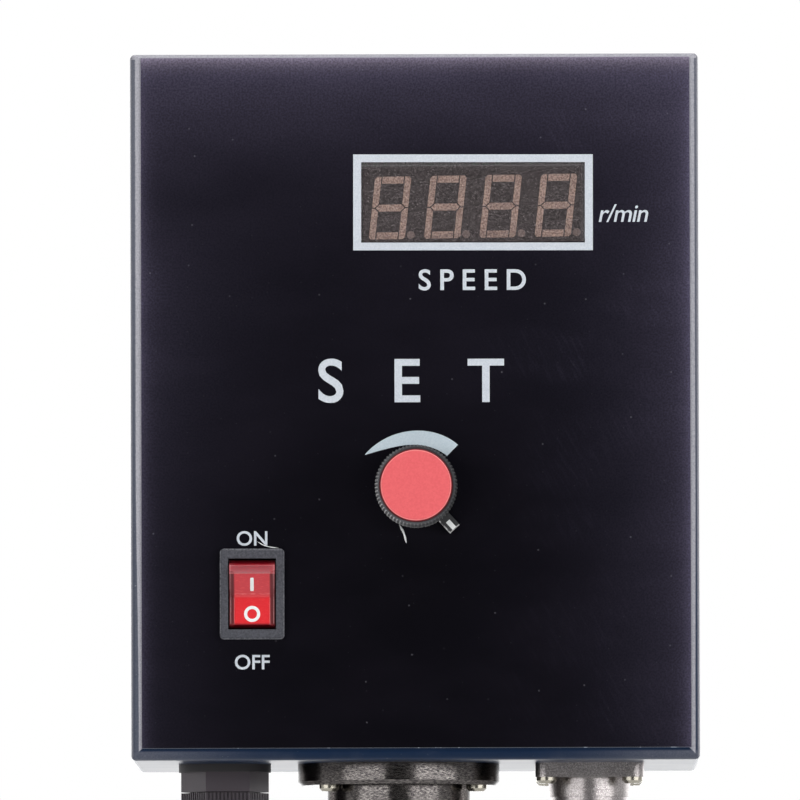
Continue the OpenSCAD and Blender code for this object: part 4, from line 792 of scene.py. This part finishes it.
# a ring: a flat section carried round a circle
def rockerRing(spec):
    angle = np.linspace(0, 2 * math.pi, spec["steps"], endpoint=False)[:, None]
    outer, inner, bevel = spec["ringOuter"], spec["ringInner"], spec["ringBevel"]
    radius = np.array([outer, outer - bevel, inner + bevel, inner])
    lift = np.array([0, 1, 1, 0]) * spec["lift"]
    points = onRocker(radius * np.cos(angle), spec["ringUp"] + radius * np.sin(angle), lift, 0)
    faces = gridFaces(spec["steps"], 4, True, True)
    addPiece("rockerRing", points, faces, "rocker", finishes["mark_white"])


rockerBar(rockerMarks)
rockerRing(rockerMarks)
print("rocker marks: 2 pieces")


# Threads below the panel

threads = [
    {"name": "motorThread", "node": "motor_socket", "radius": 16.5, "neck": 10.2, "end": 1.0,
     "pitch": 1.5, "height": 0.4},
    {"name": "sensorThread", "node": "sensor_socket", "radius": 9.45, "neck": 8.5, "end": 1.0,
     "pitch": 1.0, "height": 0.3},
]
threadCut = {
    "around": 96,
    "rowsPerPitch": 10,
    "sunk": 0.1,      # how far its ends lie inside the shell
    "root": 0.12,     # height of the grooves above its ends
    "inside": 0.5,    # depth of the two rows that close it
}


# a sleeve whose radius rises and falls once a pitch along a helix and fades out at both ends;
# its last two rows turn back inside the shell, so that it is closed
def cutThread(spec, cut):
    low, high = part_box(spec["node"])
    middle = (low + high) / 2 / mm
    top = caseLow.z / mm - spec["neck"]
    bottom = low.z / mm + spec["end"]
    along = int((top - bottom) / spec["pitch"] * cut["rowsPerPitch"])
    angle = np.linspace(0, 2 * math.pi, cut["around"], endpoint=False)[None, :]
    up = np.linspace(bottom, top, along)[:, None]
    turns = up / spec["pitch"] - angle / (2 * math.pi)
    ridge = np.clip(1.3 * (1 - np.abs(2 * (turns % 1) - 1)) - 0.15, 0, 1)    # with flat crests and roots
    fade = np.clip(np.minimum(up - bottom, top - up) / (0.5 * spec["pitch"]), 0, 1)
    radius = spec["radius"] - cut["sunk"] + fade * (cut["root"] + spec["height"] * ridge)
    closing = np.full((2, cut["around"]), spec["radius"] - cut["inside"])
    radius = np.concatenate([radius, closing])
    up = np.concatenate([up, [[top], [bottom]]])
    right, back = middle.x + radius * np.cos(angle), middle.y + radius * np.sin(angle)
    points = np.stack(np.broadcast_arrays(right, back, up), -1) * mm
    faces = gridFaces(len(up), cut["around"], True, True)
    finish = nodes[spec["node"]].data.materials[0]
    addPiece(spec["name"], points, faces, "case", finish)


for spec in threads:
    cutThread(spec, threadCut)
print("threads:", len(threads))


# Slivers lifted by the knife where the film was trimmed

slivers = [
    {"name": "knobSliver", "from": (-3.55, -27.2), "to": (-2.0, -31.4), "bow": (0.22, 0.1),
     "width": 0.6, "lift": 0.9},
    {"name": "switchSliver", "from": (-36.2, -30.9), "to": (-31.3, -32.4), "bow": (-0.4, -0.35),
     "width": 0.25, "lift": 0.7},
]
sliverCut = {"sections": 25, "halfThick": 0.06, "gap": 0.08}


# a thin blade along a bowed line: it lifts off the film in the middle and narrows to both ends
def liftSliver(spec, cut):
    share = np.linspace(0, 1, cut["sections"])[:, None]
    start, end = np.array(spec["from"]), np.array(spec["to"])
    hump = np.sin(math.pi * share)
    line = start + share * (end - start) + hump * np.array(spec["bow"])
    across = np.array([end[1] - start[1], start[0] - end[0]])
    across = across / np.linalg.norm(across)
    side = np.array([-0.5, 0, 0.5, 0])
    thick = np.array([0, 1, 0, -1]) * cut["halfThick"]
    width = spec["width"] * (0.15 + 0.85 * hump) * (1 + 0.3 * np.sin(9 * share))
    right = line[:, :1] + side * width * across[0]
    up = line[:, 1:] + side * width * across[1]
    off = cut["gap"] + spec["lift"] * hump ** 2 + thick + 0.5 * side * width
    faces = rodFaces(cut["sections"])
    addPiece(spec["name"], onFilm(right, up, off), faces, "case", finishes["mark_white"], True)


for spec in slivers:
    liftSliver(spec, sliverCut)
print("slivers:", len(slivers))


# Studio

softboxes = [
    {"name": "leftBox", "place": (-1.0, -1.22, 0.09), "size": (1.4, 0.3), "power": 7.3},
    {"name": "rightBox", "place": (1.05, -1.18, 0.09), "size": (1.4, 0.3), "power": 8.6},
    {"name": "topBox", "place": (0.1, -0.5, 0.85), "size": (1.1, 0.25), "power": 6},
    {"name": "backBox", "place": (0, 0.9, -0.05), "size": (3.2, 0.5), "power": 9.3},
]


def addSoftbox(spec):
    data = bpy.data.lights.new(spec["name"], "AREA")
    data.shape = "RECTANGLE"
    data.size, data.size_y = spec["size"]
    data.energy = spec["power"]
    lamp = bpy.data.objects.new(spec["name"], data)
    lamp.visible_camera = False
    place = Vector(spec["place"])
    aim = (Vector((0, frontY, 0)) - place).to_track_quat("-Z", "Y")
    lamp.matrix_world = Matrix.Translation(place) @ aim.to_matrix().to_4x4()
    bpy.context.scene.collection.objects.link(lamp)


room = {"ambient": 0.2, "dimFront": 0.04}


# white where the camera looks; mirrors see white behind the part and a dim room before it
def lightWorld(spec):
    world = bpy.data.worlds.new("studio")
    bpy.context.scene.world = world
    make = Finish(world)
    camera, glossy, through = make.rays("Camera", "Glossy", "Transmission")
    _, depth, _ = make.split(make.add("TexCoord", output="Generated"))
    behind = make.step(depth, -0.75, -0.1)
    mirrored = spec["dimFront"] + (1 - spec["dimFront"]) * behind
    seen = make.larger(camera, through)
    level = seen + (1 - seen) * (glossy * mirrored + (1 - glossy) * spec["ambient"])
    light = make.add("Background", {}, {"Color": (1, 1, 1, 1), "Strength": level})
    make.add("OutputWorld", {}, {0: light})


floorPlan = {"half": 12.0, "drop": 0.55, "rows": 2, "glow": 0.7, "mirroredGlow": 0.85}


# pale paper that keeps shadows, glows a little where it is looked at, and is clear from below
def floorPaper(spec):
    make = newFinish("floorPaper")
    camera, glossy, through = make.rays("Camera", "Glossy", "Transmission")
    seen = make.larger(make.larger(camera, spec["mirroredGlow"] * glossy), through)
    above = 1 - make.add("NewGeometry", output="Backfacing")
    fibre = make.noise(0.2, 3)
    base = make.blend(fibre, tone(232, 232, 232), tone(242, 242, 242))
    return make.surface(base, 0.75 + 0.1 * fibre, Emission_Color=seen, Emission_Strength=spec["glow"],
                        Alpha=above)


# a flat grid under the part
def layFloor(spec):
    edge = np.linspace(-spec["half"], spec["half"], spec["rows"])
    x, y = np.meshgrid(edge, edge)
    points = np.stack([x, y, np.full_like(x, -spec["drop"])], -1)
    mesh = bpy.data.meshes.new("floor")
    mesh.from_pydata(points.reshape(-1, 3).tolist(), [], gridFaces(spec["rows"], spec["rows"]).tolist())
    mesh.materials.append(floorPaper(spec))
    floor = bpy.data.objects.new("floor", mesh)
    bpy.context.scene.collection.objects.link(floor)


for spec in softboxes:
    addSoftbox(spec)
lightWorld(room)
layFloor(floorPlan)
bpy.context.scene.view_settings.view_transform = "Standard"
print("studio:", len(softboxes), "softboxes")
